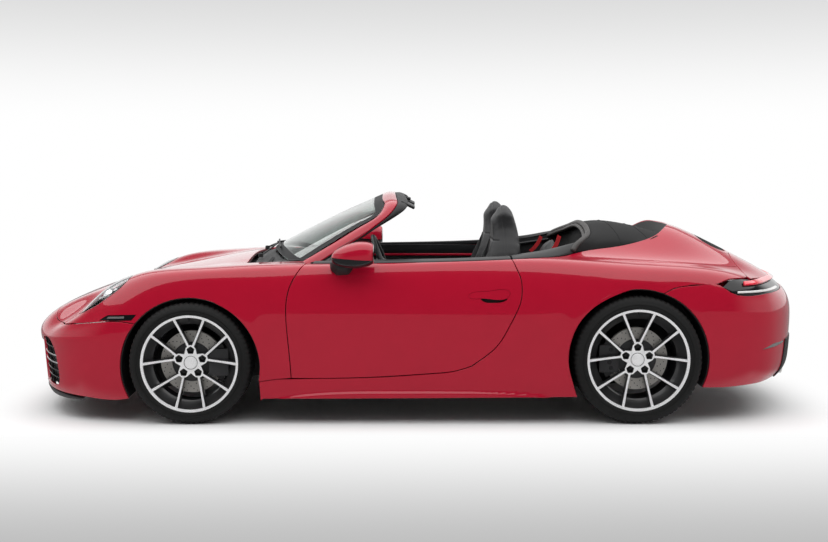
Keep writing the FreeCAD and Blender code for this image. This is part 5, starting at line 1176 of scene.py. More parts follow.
# visors and inner mirror
for side, sign in (("left", -1), ("right", 1)):
    visor = soft_block((0.088, 0.33, 0.016), (-0.052, sign * 0.34, 1.188), 0.007, turn=("Y", 26))
    piece("visor_" + side, visor, leather)
piece("roof_latch", soft_block((0.07, 0.10, 0.018), (-0.070, 0, 1.216), 0.006, turn=("Y", 14)), black_plastic)
glass_back = soft_block((0.024, 0.225, 0.062), (-0.232, 0, 1.150), 0.010, 4, turn=("Y", 12))
stem = pipe([(-0.245, 0, 1.155), (-0.262, 0, 1.185), (-0.262, 0, 1.205)], 0.010)
piece("cabin_mirror", joined(glass_back, stem), black_plastic, stands_for=["interior_mirror"])
mirror_pane = soft_block((0.003, 0.205, 0.046), (-0.219, 0, 1.1475), 0.0012, 2, turn=("Y", 12))
piece("cabin_mirror_pane", mirror_pane, chrome)

# ---------------------------------------------------------------- door mirrors
shell = bmesh.new()
bmesh.ops.create_uvsphere(shell, u_segments=64, v_segments=40, radius=1)
for vert in shell.verts:
    x, y, z = vert.co
    x, y, z = (math.copysign(abs(c) ** 0.78, c) for c in (x, y, z))
    x = x * 0.135 if x < 0 else min(x, 0.80) * 0.115
    lift = 0.012 * (x / 0.12)
    z = z * (0.076 if z > 0 else 0.066)
    taper = 1 - 0.25 * max(-x / 0.135, 0)
    vert.co = (-0.327 + x, -0.920 + y * 0.086 * taper + 0.05 * (x + 0.1) * 0.3, 0.926 + z * taper + lift)
bmesh.ops.bisect_plane(shell, geom=shell.verts[:] + shell.edges[:] + shell.faces[:], plane_co=(0, 0, 0.892),
                       plane_no=(0.06, 0, 1))
shell.normal_update()
for face in shell.faces:
    centre = face.calc_center_median()
    face.material_index = 1 if centre.z + 0.06 * centre.x < 0.892 else 0
shell_mesh = to_mesh(shell)
both_sides("mirror_shell", shell_mesh, [red_paint, black_gloss], body="door_SIDE",
           stands_for=["door_mirror_SIDE"])
mirror_glass = lathe([(0, 0), (0.97, 0), (1, -0.02), (0.97, -0.04), (0, -0.04)], 48, closed=False)
bmesh.ops.scale(mirror_glass, verts=mirror_glass.verts, vec=(0.052, 0.072, 0.05))
set_at(mirror_glass, (-0.2335, -0.917, 0.932), ("Y", 90))
both_sides("mirror_pane", to_mesh(mirror_glass), chrome, body="door_SIDE")
stalk_outline = [(-0.476, 0.886), (-0.470, 0.845), (-0.437, 0.816), (-0.372, 0.820), (-0.350, 0.850), (-0.325, 0.886)]
stalk = bmesh.new()
levels = ((-0.845, 1.0, 0.0), (-0.872, 1.0, 0.0), (-0.905, 0.86, 0.012), (-0.935, 0.60, 0.024))
rings = []
for y, shrink, up in levels:
    rings.append([stalk.verts.new((-0.40 + (x + 0.40) * shrink, y, 0.87 + (z - 0.87) * shrink + up))
                  for x, z in stalk_outline])
lofted(stalk, rings)
bmesh.ops.recalc_face_normals(stalk, faces=stalk.faces)
bevelled(stalk, 0.008, segments=3)
both_sides("mirror_stalk", to_mesh(stalk), black_plastic, body="door_SIDE")

# ---------------------------------------------------------------- belt trims
belt_in = np.array([(-0.560, -0.728, 0.884), (-0.369, -0.733, 0.890), (-0.15, -0.735, 0.894), (0.072, -0.735, 0.897),
                    (0.30, -0.735, 0.903), (0.510, -0.730, 0.915)])
belt_out = on_top((-0.575, -0.7785), (-0.369, -0.788), (0.07, -0.798), (0.40, -0.795),
                  (0.518, -0.788)) + (0, 0, 0.001)
belt_trim = panel(belt_out, belt_in, **puffed(0.007, (0, -0.3, 1)), gap=0.0, depth=0.02, roll=0.003)
both_sides("belt_trim", belt_trim, belt_trim_black, body="door_SIDE")
rear_out = on_top((0.528, -0.788), (0.65, -0.765), (0.76, -0.726), (0.85, -0.673), (0.876, -0.655)) + (0, 0, 0.001)
rear_in = np.array([(0.520, -0.728, 0.917), (0.64, -0.705, 0.934), (0.75, -0.672, 0.951), (0.83, -0.640, 0.968),
                    (0.895, -0.612, 0.982)])
rear_trim = panel(rear_out, rear_in, **puffed(0.006, (0, -0.3, 1)), gap=0.0, depth=0.02, roll=0.003)
both_sides("rear_belt_trim", rear_trim, belt_trim_black)


# ---------------------------------------------------------------- wheel arch liners
def arch_liner(line, wheel, depth_y, flare):
    inner = line.copy()
    inner[:, 1] = depth_y
    middle = np.array((ARCHES[wheel][0], depth_y, ARCHES[wheel][1]))
    inner = middle + (inner - middle) * (flare, 1, flare)
    outer = line + (0, 0.012, 0)
    return panel(outer, inner, shape=as_given, out=(0, 0, -1), gap=0.0, depth=-0.004, roll=0)


both_sides("arch_liner_front", arch_liner(arc(*ARCHES[0], 206, -13, 24), 0, -0.47, 1.10), inner_black)
both_sides("arch_liner_rear", arch_liner(arc(*ARCHES[1], 211, -23, 24), 1, -0.56, 1.03), inner_black)
for name, wheel, start, end, wall_y, flare in (("front", 0, 208, -14, -0.470, 1.10),
                                               ("rear", 1, 211, -22, -0.560, 1.03)):
    middle_x, middle_z, radius = ARCHES[wheel]
    turn = np.radians(np.linspace(start, end, 40))
    wall = bmesh.new()
    radius *= flare
    wall.faces.new([wall.verts.new((middle_x + radius * math.cos(t), wall_y, middle_z + radius * math.sin(t)))
                    for t in turn])
    bmesh.ops.translate(wall, vec=(0, 0.004, 0), verts=extruded(wall))
    bmesh.ops.recalc_face_normals(wall, faces=wall.faces)
    both_sides("arch_wall_" + name, to_mesh(wall), inner_black)


# ---------------------------------------------------------------- padded pieces
def block(cuts, roundness, shape):
    """A closed form: a finely divided cube, its corners drawn in, with each point placed by shape."""
    bm = bmesh.new()
    bmesh.ops.create_cube(bm, size=2)
    bmesh.ops.subdivide_edges(bm, edges=bm.edges[:], cuts=cuts, use_grid_fill=True)
    for vert in bm.verts:
        a, b, c = vert.co
        ball = Vector((a * math.sqrt(1 - b * b / 2 - c * c / 2 + b * b * c * c / 3),
                       b * math.sqrt(1 - a * a / 2 - c * c / 2 + a * a * c * c / 3),
                       c * math.sqrt(1 - a * a / 2 - b * b / 2 + a * a * b * b / 3)))
        vert.co = shape(*vert.co.lerp(ball, roundness))
    bmesh.ops.recalc_face_normals(bm, faces=bm.faces)
    return bm


STUFFING_PRESSURE, STUFFING_FRAMES = 4.0, 20


def stuffed(bm, cap, voxel=0.009):
    """The form blown up like a stuffed cover, no point moving further than cap."""
    helper = in_scene("stuffing", to_mesh(bm))
    remesh = helper.modifiers.new("remesh", "REMESH")
    remesh.mode, remesh.voxel_size = "VOXEL", voxel
    helper.data = evaluated(helper)
    helper.modifiers.clear()
    start = values_of(helper.data.vertices, "co")
    cloth = helper.modifiers.new("cloth", "CLOTH")
    cloth.settings.use_pressure, cloth.settings.uniform_pressure_force = True, STUFFING_PRESSURE
    cloth.settings.effector_weights.gravity = 0.0
    cloth.collision_settings.use_collision = cloth.collision_settings.use_self_collision = False
    for moment in range(1, STUFFING_FRAMES + 1):
        bpy.context.scene.frame_set(moment)
    swollen = evaluated(helper)
    move = values_of(swollen.vertices, "co") - start
    far = np.linalg.norm(move, axis=1, keepdims=True)
    move *= np.minimum(1, cap / np.maximum(far, 1e-9))
    helper.modifiers.clear()
    helper.data.vertices.foreach_set("co", (start + move).ravel())
    bpy.context.scene.frame_set(1)
    even = bmesh.new()
    even.from_mesh(helper.data)
    for _ in range(4):
        bmesh.ops.smooth_vert(even, verts=even.verts, factor=0.5, use_axis_x=True, use_axis_y=True, use_axis_z=True)
    even.to_mesh(helper.data)
    even.free()
    finer = helper.modifiers.new("finer", "SUBSURF")
    finer.levels = finer.render_levels = 1
    mesh = evaluated(helper)
    bpy.data.objects.remove(helper)
    return mesh


def stitched(mesh, *lines, depth=0.004, width=0.0045):
    """Sinks the cover along seams; each line gives a distance from the seam for points and their normals."""
    place, way = values_of(mesh.vertices, "co"), values_of(mesh.vertices, "normal")
    sunk = np.zeros(len(place))
    for line in lines:
        sunk = np.maximum(sunk, np.exp(-(line(place, way) / width) ** 2))
    mesh.vertices.foreach_set("co", (place - way * (sunk * depth)[:, None]).ravel())
    mesh.update()
    mesh.shade_smooth()
    return mesh


def pad_piece(name, mesh, stands_for=()):
    """A soft leather piece."""
    piece(name, mesh, leather, stands_for=stands_for)


def pad_pair(names, mesh, stands_for=((), ())):
    """A padded piece on the left, and its mirror image on the right."""
    other = mesh.copy()
    turned_over = bmesh.new()
    turned_over.from_mesh(other)
    bmesh.ops.scale(turned_over, verts=turned_over.verts, vec=(1, -1, 1))
    bmesh.ops.reverse_faces(turned_over, faces=turned_over.faces)
    turned_over.to_mesh(other)
    turned_over.free()
    other.shade_smooth()
    for name, pad, hidden in zip(names, (mesh, other), stands_for):
        pad_piece(name, pad, hidden)


# ---------------------------------------------------------------- front seats
SEAT_Y = -0.37
back_front = curve((0.38, 0.296), (0.55, 0.338), (0.75, 0.402), (0.90, 0.440), (1.0, 0.450), (1.1, 0.445),
                   (1.2, 0.440))
back_rear = curve((0.38, 0.40), (0.55, 0.470), (0.75, 0.545), (0.88, 0.580), (0.98, 0.580), (1.08, 0.563),
                  (1.15, 0.548), (1.2, 0.546))
back_wide = curve((0.38, 0.185), (0.55, 0.222), (0.75, 0.238), (0.88, 0.232), (0.96, 0.203), (1.03, 0.158),
                  (1.10, 0.136), (1.17, 0.122), (1.2, 0.118))
back_wing = curve((0.38, 0.030), (0.6, 0.075), (0.8, 0.072), (0.9, 0.050), (1.0, 0.018), (1.1, 0.002), (1.2, 0.0))


def seat_back(a, b, c):
    z = 0.375 + 0.5 * (c + 1) * 0.822
    front = back_front(z) - back_wing(z) * ease((abs(b) - 0.50) / 0.36) * (a < 0)
    x = front + (back_rear(z) - front) * 0.5 * (a + 1)
    return x, SEAT_Y + b * back_wide(z), z


def back_side_seam(p, n):
    share = (p[:, 0] - back_front(p[:, 2])) / (back_rear(p[:, 2]) - back_front(p[:, 2]))
    return (share - 0.42) * 0.12


def back_wing_seam(p, n):
    off = (np.abs(p[:, 1] - SEAT_Y) - 0.60 * back_wide(p[:, 2])) * 1.0
    return np.where((n[:, 0] < 0) & (p[:, 2] < 1.0), off, 1)


def back_cross_seam(p, n):
    off = np.abs(p[:, 2] - 0.985)
    for height in (0.50, 0.58, 0.66, 0.74, 0.82):
        inside = np.abs(p[:, 1] - SEAT_Y) < 0.60 * back_wide(p[:, 2])
        off = np.minimum(off, np.where(inside, np.abs(p[:, 2] - height), 1))
    return np.where(n[:, 0] < -0.2, off, 1)


back_mesh = stitched(stuffed(block(15, 0.36, seat_back), 0.016), back_side_seam, back_wing_seam, back_cross_seam)
pad_pair(("driver_back_pad", "passenger_back_pad"), back_mesh, (["driver_seat"], ["passenger_seat"]))


def seat_cushion(a, b, c):
    x = -0.118 + 0.5 * (a + 1) * 0.46
    top = 0.415 - 0.035 * (x + 0.12) / 0.46 + 0.050 * ease((abs(b) - 0.52) / 0.34)
    z = 0.250 + 0.5 * (c + 1) * (top - 0.250)
    return x, SEAT_Y + b * 0.232, z


def cushion_wing_seam(p, n):
    return np.where(n[:, 2] > 0.1, np.abs(np.abs(p[:, 1] - SEAT_Y) - 0.142), 1)


def cushion_cross_seam(p, n):
    off = np.ones(len(p))
    for across in (0.0, 0.08, 0.16, 0.24):
        off = np.minimum(off, np.abs(p[:, 0] - across))
    return np.where((n[:, 2] > 0.3) & (np.abs(p[:, 1] - SEAT_Y) < 0.142), off, 1)


cushion_mesh = stitched(stuffed(block(14, 0.5, seat_cushion), 0.016), cushion_wing_seam, cushion_cross_seam)
pad_pair(("driver_cushion", "passenger_cushion"), cushion_mesh)
both_sides("seat_base_SIDE", to_mesh(soft_block((0.44, 0.42, 0.075), (0.11, SEAT_Y, 0.235), 0.02)), black_plastic)
rails = joined(soft_block((0.52, 0.03, 0.022), (0.12, SEAT_Y - 0.17, 0.203), 0.004),
               soft_block((0.52, 0.03, 0.022), (0.12, SEAT_Y + 0.17, 0.203), 0.004))
both_sides("seat_rail_SIDE", to_mesh(rails), steel)

# ---------------------------------------------------------------- rear seats
REAR_Y = -0.285


def rear_back(a, b, c):
    z = 0.50 + 0.5 * (c + 1) * 0.455
    lean = 0.30 * (z - 0.50)
    x = 0.735 + lean + a * (0.045 - 0.012 * max(c, 0))
    return x, REAR_Y + b * (0.215 - 0.05 * max(c, 0) ** 2), z


def rear_cushion(a, b, c):
    return 0.685 + a * 0.082 + 0.02 * c, REAR_Y + b * 0.222, 0.455 + c * 0.072 - 0.02 * a


def rear_head_seam(p, n):
    return np.where(n[:, 0] < 0.3, np.abs(p[:, 2] - 0.845), 1)


def rear_channels(p, n):
    off = np.minimum(np.abs(p[:, 1] - REAR_Y - 0.08), np.abs(p[:, 1] - REAR_Y + 0.08))
    return np.where((n[:, 0] < 0) & (p[:, 2] < 0.84), off, 1)


rear_back_mesh = stitched(stuffed(block(12, 0.6, rear_back), 0.014), rear_head_seam, rear_channels)
pad_pair(("rear_back_left", "rear_back_right"), rear_back_mesh, (["rear_seats"], ()))
rear_cushion_mesh = stitched(stuffed(block(10, 0.5, rear_cushion), 0.012),
                             lambda p, n: np.where(n[:, 2] > 0, np.abs(np.abs(p[:, 1] - REAR_Y) - 0.08), 1))
pad_pair(("rear_cushion_left", "rear_cushion_right"), rear_cushion_mesh)

# belts
BELT_THICK = 0.0025
for name, start, end, depth in (("rear_belt_left", (0.818, -0.50, 1.012), (0.748, -0.505, 0.890), 0.024),
                                ("rear_belt_right", (0.818, 0.50, 0.950), (0.748, 0.505, 0.850), 0.024),
                                ("front_belt_left", (0.60, -0.640, 0.880), (0.46, -0.625, 0.360), 0.044),
                                ("front_belt_right", (0.60, 0.640, 0.880), (0.46, 0.625, 0.360), 0.044)):
    run = Vector(end) - Vector(start)
    strap = bmesh.new()
    bmesh.ops.create_cube(strap, size=1)
    bmesh.ops.scale(strap, verts=strap.verts, vec=(run.length, BELT_THICK, depth))
    bmesh.ops.subdivide_edges(strap, edges=[e for e in strap.edges if e.calc_length() > 0.06], cuts=12,
                              use_grid_fill=True)
    for vert in strap.verts:
        vert.co.z -= 0.010 * (1 - (2 * vert.co.x / run.length) ** 2)
    set_at(strap, (Vector(start) + Vector(end)) / 2, run.to_track_quat("X", "Z").to_matrix())
    piece(name, strap, belt_red)

# ---------------------------------------------------------------- steering wheel
HUB = Vector((-0.1875, -0.37, 0.83028))
wheel_turn = Matrix(((0.375, 0, 0.927), (0, 1, 0), (-0.927, 0, 0.375)))


def on_wheel(bm):
    """Sets a part made about Z onto the steering wheel's axis."""
    return set_at(bm, HUB, wheel_turn)


rim = lathe([(0.179 + 0.0155 * math.cos(t), 0.0135 * math.sin(t)) for t in np.linspace(0, 2 * math.pi, 20)[:-1]], 96)
for vert in rim.verts:
    angle = abs(math.degrees(math.atan2(vert.co.y, -vert.co.x)))
    grip = math.exp(-((angle - 62) / 16) ** 2)
    centre = Vector((vert.co.x, vert.co.y, 0)).normalized() * 0.179
    vert.co = centre + (vert.co - centre) * (1 + 0.16 * grip)
piece("wheel_rim_grip", on_wheel(rim), leather, body="steering_wheel", stands_for=["steering_wheel"])
boss = lathe([(0, 0.016), (0.035, 0.014), (0.056, 0.006), (0.062, -0.006), (0.058, -0.03), (0, -0.034)], 64,
             closed=False)
bmesh.ops.scale(boss, verts=boss.verts, vec=(1.0, 1.12, 1))
piece("wheel_boss", on_wheel(boss), leather, body="steering_wheel")
boss_ring = lathe([(0.0285, 0.0155), (0.031, 0.0172), (0.0335, 0.0152)], 64, closed=False)
piece("wheel_boss_ring", on_wheel(boss_ring), chrome, body="steering_wheel")
for k, angle in enumerate((90, 270, 0)):
    arm = soft_block((0.135, 0.036 if angle else 0.046, 0.011), (0.108, 0, -0.006), 0.004)
    for vert in arm.verts:
        vert.co.y *= 1.25 - 2.2 * abs(vert.co.x - 0.108) if vert.co.x > 0.108 else 1.25
    set_at(arm, (0, 0, 0), ("Z", angle))
    piece("wheel_spoke_%d" % k, on_wheel(arm), alloy_dark, body="steering_wheel")
    if angle:
        keys = soft_block((0.050, 0.022, 0.006), (0.095, 0, 0.003), 0.0025)
        set_at(keys, (0, 0, 0), ("Z", angle))
        piece("wheel_keys_%d" % k, on_wheel(keys), black_gloss, body="steering_wheel")
shaft = lathe([(0, -0.03), (0.026, -0.03), (0.026, -0.085), (0, -0.085)], 32, closed=False)
piece("wheel_neck", on_wheel(shaft), black_plastic, body="steering_wheel")

# ---------------------------------------------------------------- dashboard
dash_line = [(-0.815, 0.690), (-0.815, 0.868), (-0.70, 0.880), (-0.58, 0.882), (-0.47, 0.872), (-0.425, 0.852),
             (-0.418, 0.832), (-0.455, 0.800), (-0.440, 0.770), (-0.405, 0.755), (-0.392, 0.735), (-0.402, 0.700),
             (-0.440, 0.655), (-0.53, 0.640)]
dash = bmesh.new()
ring = [dash.verts.new((x, -0.635, z)) for x, z in dash_line]
face = dash.faces.new(ring)
for share in range(40):
    out = bmesh.ops.extrude_face_region(dash, geom=[face])
    moved = [v for v in out["geom"] if isinstance(v, bmesh.types.BMVert)]
    bmesh.ops.translate(dash, verts=moved, vec=(0, 1.27 / 40, 0))
    faces = [f for f in out["geom"] if isinstance(f, bmesh.types.BMFace)]
    bmesh.ops.delete(dash, geom=[face], context="FACES_ONLY") if share else None
    face = faces[0]
for vert in dash.verts:
    y = vert.co.y
    hood_bump = bump((y + 0.37) / 0.14) * ease((vert.co.x + 0.66) / 0.10) * ease((vert.co.z - 0.80) / 0.05)
    vert.co.z += 0.042 * hood_bump
    vert.co.x += 0.020 * hood_bump - 0.05 * (abs(y) / 0.635) ** 3 * ease((vert.co.x + 0.8) / 0.2)
bmesh.ops.recalc_face_normals(dash, faces=dash.faces)
dash_mesh = to_mesh(dash)
piece("dash_skin", shaded(dash_mesh, False), leather, stands_for=["dashboard"])
piece("dash_strip", soft_block((0.012, 0.62, 0.016), (-0.400, 0.28, 0.742), 0.004), red_paint)
for k, (y, width) in enumerate(((-0.565, 0.10), (-0.09, 0.085), (0.09, 0.085), (0.565, 0.10))):
    vent = joined(soft_block((0.020, width, 0.040), (-0.436, y, 0.785), 0.005),
                  *[soft_block((0.006, width - 0.014, 0.003), (-0.424, y, 0.775 + 0.010 * i), 0.001)
                    for i in range(3)])
    piece("dash_vent_%d" % k, vent, black_plastic)
piece("dash_screen", soft_block((0.010, 0.26, 0.105), (-0.424, 0.0, 0.806), 0.004, turn=("Y", -12)), black_gloss)
for k, y in enumerate((-0.50, -0.435, -0.37, -0.305, -0.24)):
    size = 0.034 if k != 2 else 0.042
    dial = lathe([(0, 0.004), (size * 0.86, 0.003), (size * 0.9, 0.008), (size, 0.006), (size, -0.01), (0, -0.01)],
                 48, closed=False)
    piece("dash_dial_%d" % k, set_at(dial, (-0.442, y, 0.832), ("Y", 75)), black_gloss)

# ---------------------------------------------------------------- console
lever = joined(soft_block((0.050, 0.040, 0.060), (-0.20, 0, 0.595), 0.014, 4),
               soft_block((0.10, 0.09, 0.006), (-0.20, 0, 0.557), 0.002))
piece("shift_lever", lever, black_gloss)
rest = block(8, 0.5, lambda a, b, c: (0.36 + a * 0.135, b * 0.078, 0.578 + c * 0.026))
rest = stitched(stuffed(rest, 0.006, 0.006),
                lambda p, n: np.where(n[:, 2] > 0.2, np.abs(np.abs(p[:, 1]) - 0.055), 1), depth=0.002)
pad_piece("arm_rest", rest)
for k, x in enumerate((0.02, 0.12)):
    cup = lathe([(0.034, 0.003), (0.038, 0.005), (0.041, 0.002), (0.040, -0.004), (0.034, -0.004)], 40)
    piece("cup_ring_%d" % k, set_at(cup, (x, 0, 0.556)), steel)
console_strip = joined(soft_block((0.42, 0.006, 0.010), (-0.08, -0.108, 0.535), 0.002),
                       soft_block((0.42, 0.006, 0.010), (-0.08, 0.108, 0.535), 0.002))
piece("console_strip", console_strip, red_paint)

# ---------------------------------------------------------------- doors inside
core_top = on_side(*[(x, 0.80) for x in np.linspace(-0.672, 0.567, 9)])
core = panel(door_low, core_top, door_front[:6], door_rear[:8], inset=0.0175, depth=0.060, gap=0.014, cell=0.03)
both_sides("door_frame", core, red_under, body="door_SIDE")
card_rear = curve((0.31, 0.24), (0.36, 0.31), (0.42, 0.385), (0.55, 0.455), (0.70, 0.500), (0.80, 0.505),
                  (0.89, 0.49))


def door_card(a, b, c):
    z = 0.597 + c * 0.285
    front, back = -0.60, card_rear(z)
    x = (front + back) / 2 + a * (back - front) / 2
    inner = -0.712 + 0.012 * (z - 0.6)
    rest = ease((0.42 - abs(x + 0.02)) / 0.12) * ease((z - 0.585) / 0.03) * ease((0.672 - z) / 0.035)
    pocket = ease((0.36 - abs(x + 0.12)) / 0.10) * ease((0.475 - z) / 0.03)
    crown = 0.010 * ease((z - 0.80) / 0.05)
    return x, inner + (0.048 * rest + 0.034 * pocket + crown if b > 0 else -0.018 - 0.055 * ease((0.86 - z) / 0.1)), z


card = block(34, 0.06, door_card)
both_sides("door_card", to_mesh(card), leather, body="door_SIDE")
red_strip = soft_block((0.86, 0.006, 0.015), (-0.02, -0.7045, 0.815), 0.0025)
both_sides("door_strip", to_mesh(red_strip), red_paint, body="door_SIDE")
pull = pipe([(-0.22, -0.700, 0.700), (-0.21, -0.675, 0.705), (0.0, -0.668, 0.708), (0.12, -0.675, 0.706),
             (0.13, -0.700, 0.702)], 0.008)
both_sides("door_pull", pull, chrome, body="door_SIDE")
opener = soft_block((0.075, 0.010, 0.022), (-0.38, -0.700, 0.735), 0.004)
both_sides("door_opener", to_mesh(opener), chrome, body="door_SIDE")
speaker = lathe([(0, 0.004), (0.062, 0.003), (0.066, 0.008), (0.075, 0.006), (0.078, -0.004), (0, -0.004)], 56,
                closed=False)
set_at(speaker, (-0.47, -0.676, 0.415), ("X", -90))
both_sides("door_speaker", to_mesh(speaker), mesh_black, body="door_SIDE")

# ---------------------------------------------------------------- trim behind the doors
low_card = np.array([(0.520, -0.712, 0.40), (0.64, -0.700, 0.42), (0.75, -0.668, 0.45), (0.83, -0.632, 0.48),
                     (0.905, -0.600, 0.52)])
high_card = rear_in + (0, 0.003, -0.010)
rear_card = panel(low_card, high_card, **puffed(0.010, (0, 1, 0)), gap=0.0, depth=0.006, roll=0.002)
both_sides("rear_card", rear_card, leather)
card_ledge = pipe([(0.53, -0.694, 0.872), (0.66, -0.680, 0.885), (0.78, -0.645, 0.905), (0.88, -0.600, 0.925)], 0.009)
both_sides("rear_card_ledge", card_ledge, leather)
shelf_low = np.array([(0.890, -0.600, 0.60), (0.93, -0.50, 0.66), (0.955, -0.30, 0.70), (0.96, -0.15, 0.71),
                      (0.96, 0, 0.71)])
shelf_high = top_front[1:] + (0.004, 0.008, -0.022)
shelf = panel(shelf_low, shelf_high, shape=as_given, out=(-1, 0, 0), centre=True, gap=0.0, depth=0.006, roll=0.002)
piece("rear_shelf", shaded(shelf, False), dark_fabric)

cover_mesh = bpy.data.objects["soft_top_cover"].data


def mirrored_line(points):
    """A line on the left, and on across the centre plane to its mirror image's end."""
    points = np.array(points, float)
    return np.concatenate([points, points[::-1][1:] * (1, -1, 1)])


rim_line = top_front[:] + (-0.006, 0.004, 0.002)
piece("opening_rim", pipe(mirrored_line(rim_line), 0.0165, 16), rim_leather)
piece("opening_rim_inner", pipe(mirrored_line(rim_line[1:] + (-0.020, 0.012, -0.018)), 0.012, 12), rim_leather)
for k, (x, bow, reach) in enumerate(((1.168, 0.032, 0.525), (1.342, 0.05, 0.44))):
    line = dropped(cover_mesh, [(x - bow * (1 - (y / reach) ** 2), y, 1) for y in np.linspace(-reach, reach, 41)])
    piece("cover_seam_%d" % k, pipe(line, 0.0028, 8), dark_fabric)
well_top = u_edge + (0, 0, -0.006)
well_middle = np.array((1.15, 0, 0))
well_low = well_middle + (well_top - well_middle) * (0.93, 0.93, 1) - (0, 0, 0.075)
well = panel(well_low, well_top, shape=as_given, out=(0, 0, 1), centre=True, gap=0.0, depth=0.004, roll=0)
piece("top_well", shaded(well, False), inner_black, stands_for=["deck_frame"])

# ---------------------------------------------------------------- engine lid grille
plate = combined(panel(lid_side, lid_middle, u_edge, tail_seam, centre=True, inset=0.020, depth=0.004),
                 prism(vent_outline, UP, 0.3, 0.3, 0.010), "INTERSECT")
lid_start = prism([(1.0, -0.6, 1), (1.666, -0.6, 1), (1.666, 0.6, 1), (1.0, 0.6, 1)], UP, 0.5, 0.5, smooth=False)
for name, body, way, on_lid in (("lid_grille", "rear_lid", "DIFFERENCE", True),
                                ("deck_grille", "body", "INTERSECT", False)):
    part = combined(plate.copy(), lid_start.copy(), way)
    piece(name + "_plate", shaded(part, False), mesh_black, body=body)
    slats = []
    for y in np.linspace(-0.360, 0.360, 19):
        front = max(1.640 + 0.012 * (abs(y) / 0.36) ** 3, 1.669 if on_lid else 0)
        back = 1.834 - 0.050 * (abs(y) / 0.37) ** 3 if on_lid else 1.661
        slats.append(pipe(on_top(*[(x, y) for x in np.linspace(front, back, 5)]) - (0, 0, 0.0052), 0.0050, 8))
    piece(name + "_slats", joined(*slats), black_gloss, body=body)

# ---------------------------------------------------------------- exhausts
for k, y in enumerate((-0.432, -0.330, 0.330, 0.432)):
    pipe_end = lathe([(0.0415, 0.0), (0.0445, 0.003), (0.0445, -0.004), (0.0435, -0.16), (0.036, -0.16),
                      (0.0365, -0.01)], 56)
    # painted shade: a near-black disc 6 cm inside each tip closes the pipe, standing in for its dark depth
    plug = lathe([(0, -0.06), (0.0365, -0.06), (0.0365, -0.07), (0, -0.07)], 40, closed=False)
    for part in (pipe_end, plug):
        set_at(part, (2.122, y, 0.250), ("Y", 90))
    piece("exhaust_%d" % k, pipe_end, steel, stands_for=["exhaust_tips"])
    piece("exhaust_inside_%d" % k, plug, inner_black)

# ---------------------------------------------------------------- inner car
for finish, names in ((carpet, ("body_tub", "front_trunk_tub")), (inner_black, ("wheel_housings",)),
                      (cast_black_and_hole_shade, ("engine_block", "front_suspension", "rear_suspension", "knuckle_front_left",
                                    "knuckle_front_right")),
                      (black_plastic, ("steering_column",)), (leather, ("centre_console",))):
    for name in names:
        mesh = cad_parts[name].data
        mesh.materials.clear()
        mesh.materials.append(finish)


# ---------------------------------------------------------------- floor, light and finish
def smooth_range(tree, value, low, high, to_low=0.0, to_high=1.0):
    """A value's smooth step from one level to another between two bounds."""
    return node(tree, "MapRange", value, low, high, to_low, to_high, interpolation_type="SMOOTHSTEP").outputs[0]


WALL_PAINTED_SHADE, FRONT_PAINTED_SHADE, GLOSS_FLOOR = 0.69, 0.50, 0.30          # brightness of the room's parts; the front and wall levels are painted shade, greying the floor and the backdrop
floor_material, tree, shader = new_material("floor", Roughness=0.6)
shader.inputs["Base Color"].default_value = (0.92, 0.92, 0.92, 1)
shader.inputs["Specular IOR Level"].default_value = 0.2
place = node(tree, "SeparateXYZ", node(tree, "TexCoord").outputs["Object"])
path = node(tree, "LightPath")
across = smooth_range(tree, math_of(tree, "ABSOLUTE", place.outputs["Y"]), 0.86, 1.22)
along = smooth_range(tree, math_of(tree, "ABSOLUTE", place.outputs["X"]), 2.12, 2.62)
open_floor = math_of(tree, "MAXIMUM", across, along)
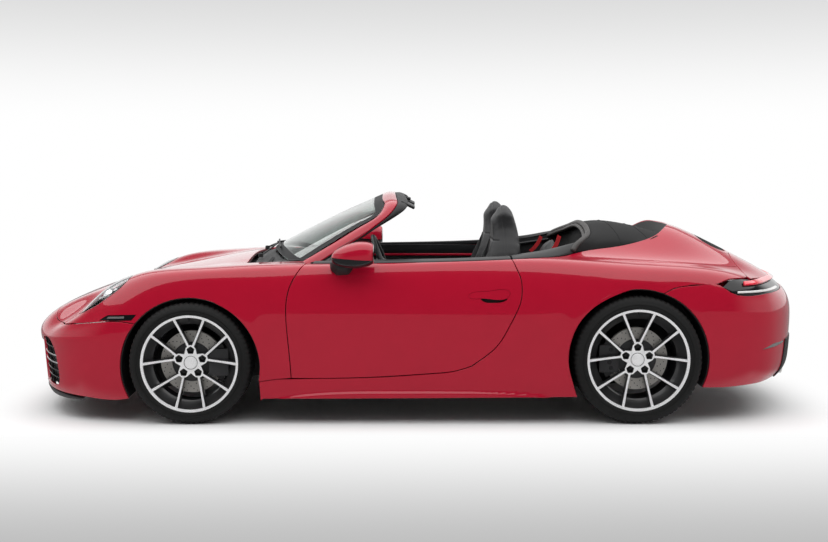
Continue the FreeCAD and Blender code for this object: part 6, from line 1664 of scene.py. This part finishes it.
# painted shade: the glowing floor greys from white 1 m in front of the car to the front level at 3.3 m, and back to
# white far off
near = smooth_range(tree, place.outputs["Y"], -3.3, -1.0, FRONT_PAINTED_SHADE, 1.0)
far = smooth_range(tree, place.outputs["Y"], -9.0, -5.0, 1.0, FRONT_PAINTED_SHADE)
white = math_of(tree, "MAXIMUM", near, far)
strength = node(tree, "Mix", path.outputs["Is Glossy Ray"], None, white, GLOSS_FLOOR).outputs[0]
glow = node(tree, "Emission", (1, 1, 1, 1), strength)
seen = math_of(tree, "MULTIPLY", open_floor, math_of(tree, "SUBTRACT", 1.0, path.outputs["Is Diffuse Ray"]))
mix = node(tree, "MixShader", seen, shader.outputs[0], glow.outputs[0])
tree.links.new(mix.outputs[0], tree.nodes["Material Output"].inputs["Surface"])
bm = bmesh.new()
bmesh.ops.create_grid(bm, x_segments=2, y_segments=2, size=60)
floor_mesh = to_mesh(bm)
floor_mesh.materials.append(floor_material)
in_scene("floor", floor_mesh)

world = bpy.data.worlds.new("studio")
bpy.context.scene.world = world
world.use_nodes = True
tree = world.node_tree
back = tree.nodes["Background"]
back.inputs["Color"].default_value = (1, 1, 1, 1)
way = node(tree, "SeparateXYZ", node(tree, "TexCoord").outputs["Generated"])
path = node(tree, "LightPath")
# painted shade: the backdrop, as seen straight on, greys from white at the horizon to the wall level higher up
seen = smooth_range(tree, way.outputs["Z"], 0.03, 0.16, 1.0, WALL_PAINTED_SHADE)
low_wall = smooth_range(tree, way.outputs["Z"], 0.20, 0.55, 1.0, 0.06)
behind = smooth_range(tree, way.outputs["Y"], -0.15, 0.25, 0.03, 1.0)
ends = smooth_range(tree, math_of(tree, "ABSOLUTE", way.outputs["X"]), 0.55, 0.95, 0.0, 0.8)
gloss = math_of(tree, "MULTIPLY", low_wall, math_of(tree, "MAXIMUM", behind, ends))
soft = node(tree, "Mix", path.outputs["Is Glossy Ray"], None, 0.28, gloss).outputs[0]
plain = math_of(tree, "MAXIMUM", path.outputs["Is Camera Ray"], path.outputs["Is Transmission Ray"])
tree.links.new(node(tree, "Mix", plain, None, soft, seen).outputs[0], back.inputs["Strength"])

# the ceiling lamp
data = bpy.data.lights.new("ceiling", "AREA")
data.shape, data.size, data.size_y, data.energy = "RECTANGLE", 13, 9, 630
in_scene("ceiling", data).location = (0, -0.25, 4.2)

bpy.context.scene.view_settings.view_transform = "Standard"
